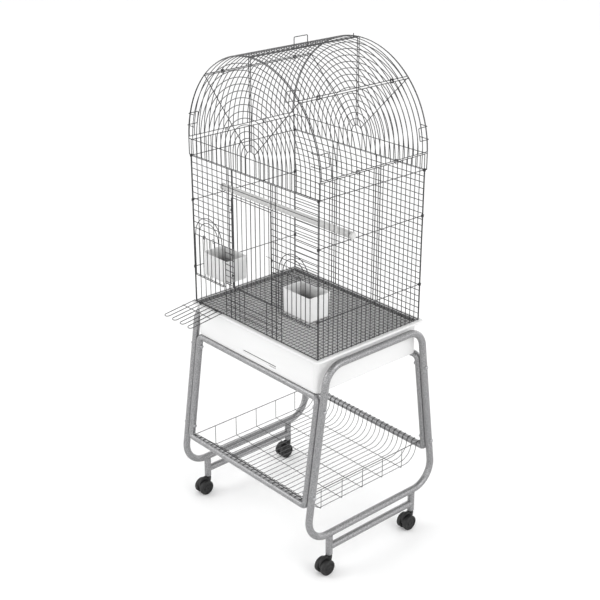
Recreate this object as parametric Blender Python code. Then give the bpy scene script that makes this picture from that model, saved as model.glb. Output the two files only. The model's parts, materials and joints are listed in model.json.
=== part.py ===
"""Dome-top bird cage on a rolling tube stand.

Metres, +Z up, the floor at z = 0, the front of the cage faces -Y.
The cage is centred on x = 0, y = 0; the stand is centred a little behind it.
"""

import math

import bmesh
import bpy
from mathutils import Vector

# ---------------------------------------------------------------- driving sizes
CAGE_W = 0.559            # outside width of the wire cage, along X
CAGE_D = 0.413            # outside depth of the wire cage, along Y
FLOOR_Z = 0.716           # height of the bottom wires of the cage
WALL_H = 0.470            # height of the square walls, up to the dome ends
SPRING_H = 0.520          # height of the dome's centre above the bottom wires
DOME_OUT = 0.0065         # how far the dome wires stand out past the side walls
TIE_LOW = 0.116           # lower cross wire of the side and back walls
TIE_HIGH = 0.331          # upper cross wire of the side and back walls
LID_SWING = 115.0         # degrees a roof lid opens
DOOR_SILL = 0.109         # underside of the main door above the bottom wires
DOOR_H = 0.276            # height of the main door opening
DOOR_HALF = 0.083         # half width of the main door opening
FEED_X0 = 0.128           # inner side of a feeder opening
FEED_IN = 0.0115          # outer side of a feeder opening, in from the side walls
FEED_Z0 = 0.096           # bottom of a feeder opening
FEED_Z1 = 0.222           # top of a feeder opening
FLAP_X1 = -0.141          # right side of the landing flap
FLAP_LEN = 0.120          # length of the landing flap
FLAP_DROOP = 7.0          # degrees the open flap hangs below level

WIRE = 0.0030             # width of a frame wire in the plane of its panel
SHEET = 0.0024            # thickness of a wire panel
GAP = 0.0003              # clearance between pieces that touch
SLIDE = 0.0005            # clearance round a piece that slides

BASE_H = 0.1113           # height of the plastic base
BASE_IN_X = 0.0055        # how far the base body stands in under the cage, along X
BASE_IN_Y = 0.0025        # the same along Y
RIM_OUT_X = 0.0115        # how far the rim stands out past the cage, along X
RIM_OUT_Y = 0.0115        # the same along Y
RIM_T = 0.008             # thickness of the rim
BASE_WALL = 0.012         # thickness of the base beside the drawer bay
DRAWER_LIFT = 0.0055      # underside of the drawer above the base's underside
DRAWER_H = 0.045          # height of the drawer's sides
DRAWER_WALL = 0.0026      # thickness of the drawer's walls
PULL_X0 = -0.053          # left end of the drawer's finger slot
PULL_X1 = 0.097           # right end of the finger slot
PULL_UP = 0.0125          # finger slot above the drawer's underside
PULL_H = 0.009            # height of the finger slot

TUBE = 0.022              # diameter of the stand tube
STAND_Y = 0.008           # the middle of the stand along Y
SIDE_OUT = 0.0175         # centreline of a side frame out from the side walls
TOP_DROP = 0.024          # side frame's top bar below the bottom wires
RAIL_Z = 0.086            # height of a caster rail's centreline
LOW_UP = 0.048            # side frame's bottom bar above the caster rail
CROSS_UP = 0.118          # lower cross bars above the side frame's bottom bar
LEG_IN_Y = 0.0145         # legs at the top bar, in from the front of the cage
LEG_OUT_Y = 0.079         # how much further out the legs stand at the bottom bar
CROSS_BEND = 0.024        # bend radius at the upper corners of a cross frame
CROSS_BEND_LOW = 0.016    # bend radius at its lower corners
POST_IN_Y = 0.093         # caster posts, in from the feet of the legs
POST_UP = 0.011           # underside of a caster post above the wheel
WHEEL_R = 0.025           # caster wheel radius
TRAIL = 0.018             # caster wheel axle behind its stem

BASKET_IN = 0.0187        # shelf basket's sides in from the cross frames' legs
BASKET_DEEP = 0.054       # basket floor below the middle of the cross bars
PERCH_R = 0.0105
PERCH_Y = -0.083
PERCH_H = 0.344
CUP_W = 0.118
CUP_D = 0.082
CUP_H = 0.074
CUP_FOOT = 0.100          # underside of a cup above the bottom wires
CUP_WALL = 0.002
CUP_OUT = 0.0375          # outer side of a cup, in from the side walls

# ---------------------------------------------------------------- tied sizes
CX = CAGE_W / 2
CY = CAGE_D / 2
DOME_R = CX + DOME_OUT
FEED_X1 = CX - FEED_IN
FLAP_X0 = -CX + 0.0005
BASE_HALF_X = CX - BASE_IN_X
BASE_HALF_Y = CY - BASE_IN_Y
BAY_HALF_X = BASE_HALF_X - BASE_WALL
SIDE_X = CX + SIDE_OUT
RAIL_DROP = FLOOR_Z - RAIL_Z
LOW_DROP = RAIL_DROP - LOW_UP
CROSS_LOW_DROP = LOW_DROP - CROSS_UP
SPREAD_TOP = CY - LEG_IN_Y
SPREAD_LOW = SPREAD_TOP + LEG_OUT_Y
POST_Y = SPREAD_LOW - POST_IN_Y
POST_FOOT = 2 * WHEEL_R + POST_UP
LEG_IN_X = SIDE_X - TUBE - GAP
BASKET_HALF_X = LEG_IN_X - BASKET_IN
LEG_LEAN = (SPREAD_LOW - SPREAD_TOP) / (LOW_DROP - TOP_DROP)
CROSS_TOP_DROP = BASE_H + GAP + TUBE / 2
FRONT_Y = -CY + SHEET / 2
BACK_Y = CY - SHEET / 2
SIDE_PLANE = CX - SHEET / 2
INNER_Y = CY - SHEET - GAP
FEED_LAYER = FRONT_Y - SHEET - 0.0011
FLAP_LAYER = FEED_LAYER - SHEET - 0.0012
RIDGE_HALF = WIRE / 2
LID_GAP = 0.0015


# ---------------------------------------------------------------- clean start
for old in list(bpy.data.objects):
    bpy.data.objects.remove(old, do_unlink=True)


# ---------------------------------------------------------------- materials
def material(name, colour, rough, metal):
    mat = bpy.data.materials.new(name)
    mat.use_nodes = True
    shader = mat.node_tree.nodes["Principled BSDF"]
    shader.inputs["Base Color"].default_value = (*colour, 1.0)
    shader.inputs["Roughness"].default_value = rough
    shader.inputs["Metallic"].default_value = metal
    return mat


STEEL = material("wire_steel", (0.30, 0.30, 0.31), 0.35, 1.0)
SILVER = material("silver_paint", (0.42, 0.42, 0.43), 0.38, 0.6)
WHITE = material("white_plastic", (0.82, 0.82, 0.81), 0.35, 0.0)
BLACK = material("black_plastic", (0.02, 0.02, 0.02), 0.45, 0.0)
GREY = material("grey_plastic", (0.62, 0.62, 0.61), 0.5, 0.0)
BOLT = material("bolt_steel", (0.50, 0.50, 0.51), 0.3, 1.0)


# ---------------------------------------------------------------- mesh helpers
def finish(name, bm, mat, smooth=False):
    bmesh.ops.recalc_face_normals(bm, faces=bm.faces[:])
    mesh = bpy.data.meshes.new(name)
    bm.to_mesh(mesh)
    bm.free()
    for face in mesh.polygons:
        face.use_smooth = smooth
    mesh.materials.append(mat)
    obj = bpy.data.objects.new(name, mesh)
    bpy.context.scene.collection.objects.link(obj)
    return obj


def bake(obj):
    """Applies the modifiers of an object to its mesh."""
    graph = bpy.context.evaluated_depsgraph_get()
    mesh = bpy.data.meshes.new_from_object(obj.evaluated_get(graph))
    obj.modifiers.clear()
    obj.data = mesh
    return obj


def combine(obj, tools, how):
    """Joins or cuts an object with tools that are then removed."""
    for tool in tools:
        step = obj.modifiers.new("step", "BOOLEAN")
        step.operation = how
        step.solver = "EXACT"
        step.object = tool
        bake(obj)
        bpy.data.objects.remove(tool, do_unlink=True)
    return obj


def move_origin(obj, point):
    shift = Vector(point)
    for vert in obj.data.vertices:
        vert.co = vert.co - shift
    obj.location = shift
    return obj


def prism(name, ring, low, high, mat, axis="Z"):
    """A closed outline carried from low to high along an axis."""
    bm = bmesh.new()
    ends = []
    for level in (low, high):
        verts = []
        for a, b in ring:
            if axis == "Z":
                verts.append(bm.verts.new((a, b, level)))
            elif axis == "X":
                verts.append(bm.verts.new((level, a, b)))
            else:
                verts.append(bm.verts.new((a, level, b)))
        ends.append(verts)
    count = len(ring)
    for i in range(count):
        j = (i + 1) % count
        bm.faces.new((ends[0][i], ends[0][j], ends[1][j], ends[1][i]))
    bm.faces.new(ends[0])
    bm.faces.new(ends[1])
    return finish(name, bm, mat)


def rounded(x0, x1, y0, y1, radius, parts=3):
    """A rectangle with rounded corners."""
    ring = []
    centres = (
        (x1 - radius, y1 - radius, 0.0),
        (x0 + radius, y1 - radius, 90.0),
        (x0 + radius, y0 + radius, 180.0),
        (x1 - radius, y0 + radius, 270.0),
    )
    for cx, cy, start in centres:
        for i in range(parts + 1):
            a = math.radians(start + 90.0 * i / parts)
            ring.append((cx + radius * math.cos(a), cy + radius * math.sin(a)))
    return ring


def box(name, x0, x1, y0, y1, z0, z1, mat):
    return prism(name, [(x0, y0), (x1, y0), (x1, y1), (x0, y1)], z0, z1, mat)


def circle(a, b, radius, sides):
    step = 2 * math.pi / sides
    return [
        (a + radius * math.cos(step * (i + 0.5)), b + radius * math.sin(step * (i + 0.5)))
        for i in range(sides)
    ]


def turned(name, profile, sides, mat, axis="X", at=(0, 0, 0)):
    """A profile of (along, radius) stations turned about an axis."""
    bm = bmesh.new()
    rings = []
    for along, radius in profile:
        ring = []
        for a, b in circle(0, 0, radius, sides):
            if axis == "X":
                spot = (along, a, b)
            elif axis == "Y":
                spot = (a, along, b)
            else:
                spot = (a, b, along)
            ring.append(bm.verts.new(Vector(spot) + Vector(at)))
        rings.append(ring)
    for low, high in zip(rings, rings[1:]):
        for i in range(sides):
            j = (i + 1) % sides
            bm.faces.new((low[i], low[j], high[j], high[i]))
    bm.faces.new(rings[0])
    bm.faces.new(rings[-1])
    return finish(name, bm, mat, smooth=True)


def bend(points, radii, parts=5):
    """Rounds the corners of a closed loop of points."""
    path = []
    count = len(points)
    for i in range(count):
        here = Vector(points[i])
        back = (Vector(points[i - 1]) - here).normalized()
        ahead = (Vector(points[(i + 1) % count]) - here).normalized()
        half = back.angle(ahead) / 2
        reach = radii[i] / math.tan(half)
        middle = here + (back + ahead).normalized() * (radii[i] / math.sin(half))
        start = here + back * reach - middle
        end = here + ahead * reach - middle
        for k in range(parts + 1):
            t = k / parts
            path.append(middle + start.slerp(end, t) * radii[i])
    return path


def hoop(name, path, normal, radius, sides, mat):
    """A round tube along a closed flat path."""
    bm = bmesh.new()
    rings = []
    count = len(path)
    normal = Vector(normal).normalized()
    for i in range(count):
        run = (path[(i + 1) % count] - path[i - 1]).normalized()
        side = run.cross(normal)
        ring = []
        for k in range(sides):
            a = 2 * math.pi * k / sides
            ring.append(bm.verts.new(path[i] + (normal * math.cos(a) + side * math.sin(a)) * radius))
        rings.append(ring)
    for i in range(count):
        low = rings[i]
        high = rings[(i + 1) % count]
        for k in range(sides):
            m = (k + 1) % sides
            bm.faces.new((low[k], low[m], high[m], high[k]))
    return finish(name, bm, mat, smooth=True)


def unit(vector):
    return vector.normalized()


def grille(name, strips, place, mat, cuts_u=(), cuts_v=()):
    """One sheet of crossed wires.

    strips are (u0, u1, v0, v1) rectangles; place(u, v, w) gives the spot of a
    corner, w = -1 or +1 for the two faces of the sheet.
    """
    us = set(round(u, 6) for u in cuts_u)
    vs = set(round(v, 6) for v in cuts_v)
    for u0, u1, v0, v1 in strips:
        us.update((round(u0, 6), round(u1, 6)))
        vs.update((round(v0, 6), round(v1, 6)))
    us = sorted(us)
    vs = sorted(vs)
    solid = set()
    for i in range(len(us) - 1):
        mid_u = (us[i] + us[i + 1]) / 2
        for j in range(len(vs) - 1):
            mid_v = (vs[j] + vs[j + 1]) / 2
            for u0, u1, v0, v1 in strips:
                if u0 < mid_u < u1 and v0 < mid_v < v1:
                    solid.add((i, j))
                    break
    bm = bmesh.new()
    made = {}

    def corner(i, j, w):
        key = (i, j, w)
        if key not in made:
            made[key] = bm.verts.new(place(us[i], vs[j], w))
        return made[key]

    for i, j in sorted(solid):
        for w in (-1, 1):
            bm.faces.new((corner(i, j, w), corner(i + 1, j, w), corner(i + 1, j + 1, w), corner(i, j + 1, w)))
        edges = (
            ((i, j), (i + 1, j), (i, j - 1)),
            ((i + 1, j), (i + 1, j + 1), (i + 1, j)),
            ((i + 1, j + 1), (i, j + 1), (i, j + 1)),
            ((i, j + 1), (i, j), (i - 1, j)),
        )
        for a, b, beyond in edges:
            if beyond not in solid:
                bm.faces.new((corner(*a, -1), corner(*b, -1), corner(*b, 1), corner(*a, 1)))
    return finish(name, bm, mat)


def along_u(v, u0, u1, width=WIRE):
    return (u0, u1, v - width / 2, v + width / 2)


def along_v(u, v0, v1, width=WIRE):
    return (u - width / 2, u + width / 2, v0, v1)


def facing_y(y):
    return lambda u, v, w: (u, y + w * SHEET / 2, FLOOR_Z + v)


def facing_x(x):
    return lambda u, v, w: (x + w * SHEET / 2, u, FLOOR_Z + v)


def arched(angle, radius):
    return (radius * math.cos(angle), FLOOR_Z + SPRING_H + radius * math.sin(angle))


# ---------------------------------------------------------------- stand frames
def leg_y(drop, way):
    """Where the middle of a leg is along Y at a drop below the bottom wires."""
    return STAND_Y + way * (SPREAD_TOP + (drop - TOP_DROP) * LEG_LEAN)


def side_frame(name, x):
    corners = (
        (x, leg_y(TOP_DROP, -1), FLOOR_Z - TOP_DROP),
        (x, leg_y(TOP_DROP, 1), FLOOR_Z - TOP_DROP),
        (x, leg_y(LOW_DROP, 1), FLOOR_Z - LOW_DROP),
        (x, leg_y(LOW_DROP, -1), FLOOR_Z - LOW_DROP),
    )
    return hoop(name, bend(corners, (0.062, 0.062, 0.072, 0.072)), (1, 0, 0), TUBE / 2, 12, SILVER)


def cross_frame(name, way):
    high = (leg_y(CROSS_TOP_DROP, way), FLOOR_Z - CROSS_TOP_DROP)
    low = (leg_y(CROSS_LOW_DROP, way), FLOOR_Z - CROSS_LOW_DROP)
    corners = (
        (-LEG_IN_X, *high),
        (LEG_IN_X, *high),
        (LEG_IN_X, *low),
        (-LEG_IN_X, *low),
    )
    lean = Vector((0, low[0] - high[0], low[1] - high[1]))
    normal = lean.cross(Vector((1, 0, 0)))
    bends = (CROSS_BEND, CROSS_BEND, CROSS_BEND_LOW, CROSS_BEND_LOW)
    return hoop(name, bend(corners, bends, 4), normal, TUBE / 2, 12, SILVER)


BOLT_DROPS = (CROSS_TOP_DROP + CROSS_BEND + 0.008, CROSS_LOW_DROP - CROSS_BEND - 0.014)
BOLT_R = 0.003
frames = {}
for tag, sign in (("left", -1), ("right", 1)):
    frames[tag] = side_frame("side_frame_" + tag, sign * SIDE_X)
for tag, way in (("front", -1), ("back", 1)):
    frames[tag] = cross_frame("cross_frame_" + tag, way)


def bolt_spot(drop, way):
    return (leg_y(drop, way), FLOOR_Z - drop)


for tag, sign in (("left", -1), ("right", 1)):
    for end, way in (("front", -1), ("back", 1)):
        for level, drop in zip(("upper", "lower"), BOLT_DROPS):
            y, z = bolt_spot(drop, way)
            ends = sorted((sign * (LEG_IN_X - TUBE), sign * (SIDE_X + TUBE)))
            for bored in (frames[tag], frames[end]):
                hole = prism("hole", circle(y, z, BOLT_R + GAP, 8), *ends, BOLT, "X")
                combine(bored, [hole], "DIFFERENCE")
            face_out = SIDE_X + TUBE / 2 + GAP
            face_in = LEG_IN_X - TUBE / 2 - GAP
            profile = [
                (sign * (face_in - 0.005), 0.0058),
                (sign * face_in, 0.0058),
                (sign * face_in, BOLT_R),
                (sign * face_out, BOLT_R),
                (sign * face_out, 0.0070),
                (sign * (face_out + 0.0028), 0.0062),
                (sign * (face_out + 0.0045), 0.0036),
            ]
            turned("bolt_" + tag + "_" + end + "_" + level, profile, 8, BOLT, "X", (0, y, z))

for obj in frames.values():
    for face in obj.data.polygons:
        face.use_smooth = True

# ---------------------------------------------------------------- caster rails
POST_TOP = FLOOR_Z - LOW_DROP - TUBE / 2 - GAP
STEM_R = 0.0042
STEM_DEEP = 0.026
rail_end = POST_Y - TUBE / 2 - GAP
for tag, sign in (("left", -1), ("right", 1)):
    x = sign * SIDE_X
    ring = circle(x, RAIL_Z, TUBE / 2, 12)
    rail = prism("caster_rail_" + tag, ring, STAND_Y - rail_end, STAND_Y + rail_end, SILVER, "Y")
    made = [rail]
    for end, way in (("front", -1), ("back", 1)):
        y = STAND_Y + way * POST_Y
        name = "caster_post_" + end + "_" + tag
        post = prism(name, circle(x, y, TUBE / 2, 12), POST_FOOT, POST_TOP, SILVER)
        ring = circle(x, y, STEM_R + GAP, 10)
        bore = prism("bore", ring, POST_FOOT - 0.01, POST_FOOT + STEM_DEEP, SILVER)
        made.append(combine(post, [bore], "DIFFERENCE"))
    for obj in made:
        for face in obj.data.polygons:
            face.use_smooth = len(face.vertices) == 4

# ---------------------------------------------------------------- casters
HOOD_HALF = 0.0045
WHEEL_IN = HOOD_HALF + 0.0006
WHEEL_OUT = 0.0205
AXLE_R = 0.0035
WHEEL_SIDES = 20
TREAD_R = WHEEL_R / math.cos(math.pi / WHEEL_SIDES)
for side, sign in (("left", -1), ("right", 1)):
    for end, way in (("front", -1), ("back", 1)):
        x = sign * SIDE_X
        y = STAND_Y + way * POST_Y
        ay = y - TRAIL
        name = end + "_" + side
        outline = [
            (y + 0.0085, POST_FOOT - 0.0010),
            (y - 0.0085, POST_FOOT - 0.0010),
            (ay - 0.0100, POST_FOOT - 0.0080),
            (ay - 0.76 * WHEEL_R, 1.68 * WHEEL_R),
            (ay - 0.84 * WHEEL_R, 1.08 * WHEEL_R),
            (ay - 0.0080, 0.68 * WHEEL_R),
            (ay + 0.0080, 0.68 * WHEEL_R),
            (y + 0.0050, 1.20 * WHEEL_R),
            (y + 0.0085, POST_FOOT - 0.0130),
        ]
        fork = prism("caster_fork_" + name, outline, x - HOOD_HALF, x + HOOD_HALF, BLACK, "X")
        stations = [(POST_FOOT - 0.0090, 0.0085), (POST_FOOT - GAP, 0.0085)]
        collar = turned("collar", stations, 12, BLACK, "Z", (x, y, 0))
        stations = [(POST_FOOT - 0.0060, STEM_R), (POST_FOOT + STEM_DEEP - 0.001, STEM_R)]
        stem = turned("stem", stations, 10, BLACK, "Z", (x, y, 0))
        eye = prism("eye", circle(ay, WHEEL_R, AXLE_R + GAP, 10), x - 0.02, x + 0.02, BLACK, "X")
        combine(fork, [collar, stem], "UNION")
        combine(fork, [eye], "DIFFERENCE")
        move_origin(fork, (x, y, POST_FOOT))
        profile = [
            (-WHEEL_OUT, 0.60 * WHEEL_R),
            (-WHEEL_OUT + 0.0020, 0.90 * WHEEL_R),
            (-WHEEL_OUT + 0.0045, TREAD_R),
            (-WHEEL_IN - 0.0008, TREAD_R),
            (-WHEEL_IN, 0.96 * WHEEL_R),
            (-WHEEL_IN, AXLE_R),
            (WHEEL_IN, AXLE_R),
            (WHEEL_IN, 0.96 * WHEEL_R),
            (WHEEL_IN + 0.0008, TREAD_R),
            (WHEEL_OUT - 0.0045, TREAD_R),
            (WHEEL_OUT - 0.0020, 0.90 * WHEEL_R),
            (WHEEL_OUT, 0.60 * WHEEL_R),
        ]
        wheel = turned("caster_wheel_" + name, profile, WHEEL_SIDES, BLACK, "X", (x, ay, WHEEL_R))
        move_origin(wheel, (x, ay, WHEEL_R))

# ---------------------------------------------------------------- shelf basket
BAR_Z = FLOOR_Z - CROSS_LOW_DROP
BAR_TOP = BAR_Z + TUBE / 2 + GAP + SHEET / 2
BASK_Z = BAR_Z - BASKET_DEEP
bar_f = leg_y(CROSS_LOW_DROP, -1)
bar_b = leg_y(CROSS_LOW_DROP, 1)
drop_in = TUBE / 2 + GAP + 0.006
basket_line = [
    (bar_f - 0.006, BAR_TOP),
    (bar_f + drop_in - 0.004, BAR_TOP),
    (bar_f + drop_in + 0.003, BAR_TOP - 0.010),
    (bar_f + drop_in + 0.006, BASK_Z + 0.020),
    (bar_f + drop_in + 0.020, BASK_Z + 0.004),
    (bar_f + drop_in + 0.040, BASK_Z),
    (bar_b - drop_in - 0.040, BASK_Z),
    (bar_b - drop_in - 0.020, BASK_Z + 0.004),
    (bar_b - drop_in - 0.006, BASK_Z + 0.020),
    (bar_b - drop_in - 0.003, BAR_TOP - 0.010),
    (bar_b - drop_in + 0.004, BAR_TOP),
    (bar_b + 0.006, BAR_TOP),
]
basket_run = [0.0]
for a, b in zip(basket_line, basket_line[1:]):
    basket_run.append(basket_run[-1] + math.dist(a, b))


def on_basket(u, v, w):
    """v runs along the basket's bent wires, u across them."""
    last = len(basket_line) - 1
    k = 0
    while k < last - 1 and v > basket_run[k + 1]:
        k += 1
    t = (v - basket_run[k]) / (basket_run[k + 1] - basket_run[k])
    y = basket_line[k][0] + t * (basket_line[k + 1][0] - basket_line[k][0])
    z = basket_line[k][1] + t * (basket_line[k + 1][1] - basket_line[k][1])
    before = max(k - 1, 0)
    after = min(k + 1, last - 1)
    run = Vector(basket_line[k + 1]) - Vector(basket_line[k])
    if t < 1e-6 and k > 0:
        run = unit(run) + unit(Vector(basket_line[k]) - Vector(basket_line[before]))
    elif t > 1 - 1e-6 and k < last - 1:
        run = unit(run) + unit(Vector(basket_line[after + 1]) - Vector(basket_line[after]))
    run = unit(run)
    half = w * SHEET / 2
    return (u, y - run[1] * half, z + run[0] * half)


run_end = basket_run[-1]
floor_a = basket_run[5]
floor_b = basket_run[6]
strips = []
for i in range(5):
    u = -BASKET_HALF_X + WIRE / 2 + i * (2 * BASKET_HALF_X - WIRE) / 4
    strips.append(along_v(u, 0.0, run_end))
strips.append(along_u(0.0045, -BASKET_HALF_X, BASKET_HALF_X))
strips.append(along_u(run_end - 0.0045, -BASKET_HALF_X, BASKET_HALF_X))
for i in range(3):
    strips.append(along_u(floor_a + (i + 0.5) * (floor_b - floor_a) / 3, -BASKET_HALF_X, BASKET_HALF_X))
basket = grille("shelf_basket", strips, on_basket, STEEL, cuts_v=basket_run)
rail_z = BAR_TOP + 0.0002
walls = []
for sign in (-1, 1):
    strips = [along_u(rail_z, bar_f + 0.004, bar_b - 0.004)]
    for i in range(3):
        y = bar_f + drop_in + 0.040 + (i + 0.5) * (bar_b - bar_f - 2 * drop_in - 0.080) / 3
        strips.append(along_v(y, BASK_Z - 0.0004, rail_z))
    x = sign * (BASKET_HALF_X - WIRE / 2 - 0.0001)

    def upright(u, v, w, x=x):
        return (x + w * SHEET / 2, u, v)

    walls.append(grille("wall", strips, upright, STEEL))
combine(basket, walls, "UNION")

# ---------------------------------------------------------------- plastic base
base_low = FLOOR_Z - BASE_H
rim_low = FLOOR_Z - RIM_T
ledge = FLOOR_Z - 0.012
bay_low = base_low + DRAWER_LIFT - SLIDE
ring = rounded(-BASE_HALF_X, BASE_HALF_X, -BASE_HALF_Y, BASE_HALF_Y, 0.014)
base = prism("base_pan", ring, base_low, FLOOR_Z - 0.001, WHITE)
rim_x = CX + RIM_OUT_X
rim_y = CY + RIM_OUT_Y
rim = prism("rim", rounded(-rim_x, rim_x, -rim_y, rim_y, 0.010), rim_low, FLOOR_Z, WHITE)
well_x = CX - 0.0035
well_y = CY - 0.0035
well = box("well", -well_x, well_x, -well_y, well_y, ledge, FLOOR_Z + 0.01, WHITE)
bay_back = BASE_HALF_Y - 0.004
bay_top = ledge - 0.0060
bay_x = (-BAY_HALF_X, BAY_HALF_X)
bay = box("bay", *bay_x, -BASE_HALF_Y - 0.01, bay_back, bay_low, bay_top, WHITE)
shaft = box("shaft", *bay_x, -BASE_HALF_Y + 0.012, bay_back, bay_low + 0.01, ledge + 0.01, WHITE)
combine(base, [rim], "UNION")
combine(base, [well, bay, shaft], "DIFFERENCE")

# ---------------------------------------------------------------- litter drawer
draw_x = BAY_HALF_X - SLIDE
draw_low = bay_low + SLIDE
draw_top = bay_top - SLIDE
draw_front = -BASE_HALF_Y
draw_back = bay_back - 0.001
draw_in = draw_x - DRAWER_WALL
tray_front = draw_front + DRAWER_WALL + GAP
drawer = box("litter_drawer", -draw_x, draw_x, tray_front, draw_back, draw_low, draw_low + DRAWER_H, WHITE)
inner_y = (draw_front, draw_back - DRAWER_WALL)
hollow = box("hollow", -draw_in, draw_in, *inner_y, draw_low + DRAWER_WALL, draw_low + 2 * DRAWER_H, WHITE)
front_y = (draw_front, draw_front + DRAWER_WALL)
front = box("drawer_front", -draw_x, draw_x, *front_y, draw_low, draw_top, WHITE)
slot_y = (draw_front - 0.01, draw_front + 0.01)
slot = box("slot", PULL_X0, PULL_X1, *slot_y, draw_low + PULL_UP, draw_low + PULL_UP + PULL_H, WHITE)
combine(drawer, [hollow], "DIFFERENCE")
combine(front, [slot], "DIFFERENCE")
for obj in (drawer, front):
    move_origin(obj, (0, draw_front, draw_low))

# ---------------------------------------------------------------- floor grate
grate_x = well_x - SLIDE
grate_y = well_y - SLIDE
grate_z = ledge + GAP + SHEET / 2
strips = []
for i in range(7):
    strips.append(along_v(-grate_x + WIRE / 2 + i * (2 * grate_x - WIRE) / 6, -grate_y, grate_y))
for i in range(4):
    strips.append(along_u(-grate_y + WIRE / 2 + i * (2 * grate_y - WIRE) / 3, -grate_x, grate_x))
grille("floor_grate", strips, lambda u, v, w: (u, v, grate_z + w * SHEET / 2), STEEL)

# ---------------------------------------------------------------- square walls
foot = GAP
half = WIRE / 2
wall_top = WALL_H - GAP
edge = CX - half
strips = []
for u in (-edge, -FEED_X0 + half, FEED_X0 - half, edge):
    strips.append(along_v(u, foot, wall_top))
door_post = DOOR_HALF + half
door_top = DOOR_SILL + DOOR_H
for u in (-door_post, door_post):
    strips.append(along_v(u, foot, wall_top))
strips.append(along_u(foot + half, -CX, CX))
strips.append(along_u(DOOR_SILL - half, -FEED_X0, FEED_X0))
strips.append(along_u(door_top + half, -CX, CX))
strips.append(along_u(wall_top - half, -CX, CX))
strips.append(along_v(0.060, foot, DOOR_SILL))
strips.append(along_v(-0.040, foot, DOOR_SILL))
for sign in (-1, 1):
    near = sign * (FEED_X0 - WIRE)
    far = sign * (CX - half)
    strips.append(along_u(FEED_Z0 - half, min(near, far), max(near, far)))
    strips.append(along_u(FEED_Z1 + half, min(near, far), max(near, far)))
grille("front_wall", strips, facing_y(FRONT_Y), STEEL)

strips = []
for u in (-edge, -FEED_X0, 0.0, FEED_X0, edge):
    strips.append(along_v(u, foot, wall_top))
for v in (foot + half, TIE_LOW, TIE_HIGH, wall_top - half):
    strips.append(along_u(v, -CX, CX))
grille("back_wall", strips, facing_y(BACK_Y), STEEL)

side_top = SPRING_H - 0.002
side_edge = INNER_Y - half
for tag, sign in (("left", -1), ("right", 1)):
    strips = []
    for i in range(5):
        strips.append(along_v(-side_edge + i * side_edge / 2, foot, side_top))
    for v in (foot + half, TIE_LOW, TIE_HIGH, WALL_H, side_top - half):
        strips.append(along_u(v, -INNER_Y, INNER_Y))
    grille("side_wall_" + tag, strips, facing_x(sign * SIDE_PLANE), STEEL)

# ---------------------------------------------------------------- dome ends
leg_run = SPRING_H - (WALL_H + GAP)
arc_run = math.pi


def on_arch(y):
    """u: 0..1 up the left leg, 1..2 over the arch, 2..3 down; v: radius."""

    def place(u, v, w):
        if u <= 1:
            x, z = -v, FLOOR_Z + WALL_H + GAP + u * leg_run
        elif u >= 2:
            x, z = v, FLOOR_Z + SPRING_H - (u - 2) * leg_run
        else:
            x, z = arched(math.pi * (2 - u), v)
        return (x, y + w * SHEET / 2, z)

    return place


HUB_R = 0.022
RINGS = (DOME_R - half, 0.664 * DOME_R, 0.367 * DOME_R, HUB_R)
for tag, y in (("front", FRONT_Y), ("back", BACK_Y)):
    strips = []
    for radius in RINGS:
        strips.append(along_u(radius, 0.0, 3.0))
    low_part = WIRE / leg_run
    strips.append((0.0, low_part, HUB_R - half, DOME_R))
    strips.append((3.0 - low_part, 3.0, HUB_R - half, DOME_R))
    for turn in (1.25, 1.5, 1.75):
        strips.append((turn - 0.004, turn + 0.004, HUB_R - half, DOME_R))
    cuts = [1 + i / 16 for i in range(17)]
    grille("dome_end_" + tag, strips, on_arch(y), STEEL, cuts_u=cuts)

# ---------------------------------------------------------------- dome sides and lids
HAUNCH = 45.0
SPRING_ANGLE = 1.0
hinge_gap = SHEET / 2 * math.tan(math.radians(LID_SWING / 2)) + 0.0001
split = math.degrees(hinge_gap / DOME_R)
crown_angle = 90.0 - math.degrees((RIDGE_HALF + LID_GAP) / DOME_R)
wire_angle = math.degrees(WIRE / DOME_R)


def on_dome(sign):
    """u: along the cage, v: degrees up from the spring line."""

    def place(u, v, w):
        x, z = arched(math.radians(v), DOME_R + w * SHEET / 2)
        return (sign * x, u, z)

    return place


def roof_piece(name, sign, low, high, parts):
    strips = []
    for i in range(5):
        strips.append(along_v(-side_edge + i * side_edge / 2, low, high))
    strips.append((-INNER_Y, INNER_Y, low, low + wire_angle))
    strips.append((-INNER_Y, INNER_Y, high - wire_angle, high))
    cuts = [low + (high - low) * i / parts for i in range(1, parts)]
    return grille(name, strips, on_dome(sign), STEEL, cuts_v=cuts)


for tag, sign in (("left", -1), ("right", 1)):
    roof_piece("dome_side_" + tag, sign, SPRING_ANGLE, HAUNCH - split, 4)
    lid = roof_piece("roof_lid_" + tag, sign, HAUNCH + split, crown_angle, 4)
    hx, hz = arched(math.radians(HAUNCH), DOME_R)
    move_origin(lid, (sign * hx, 0, hz))

crown = FLOOR_Z + SPRING_H + DOME_R
box("crown_ridge", -RIDGE_HALF, RIDGE_HALF, -INNER_Y, INNER_Y, crown - half, crown + half, STEEL)
HANDLE_Y = -0.019
HANDLE_HALF = 0.025
HANDLE_H = 0.031
handle_low = SPRING_H + DOME_R + half + GAP
strips = [
    along_v(HANDLE_Y - HANDLE_HALF, handle_low, handle_low + HANDLE_H),
    along_v(HANDLE_Y + HANDLE_HALF, handle_low, handle_low + HANDLE_H),
    along_u(handle_low + HANDLE_H - half, HANDLE_Y - HANDLE_HALF - half, HANDLE_Y + HANDLE_HALF + half),
]
grille("carry_handle", strips, facing_x(0.0), STEEL)

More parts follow.
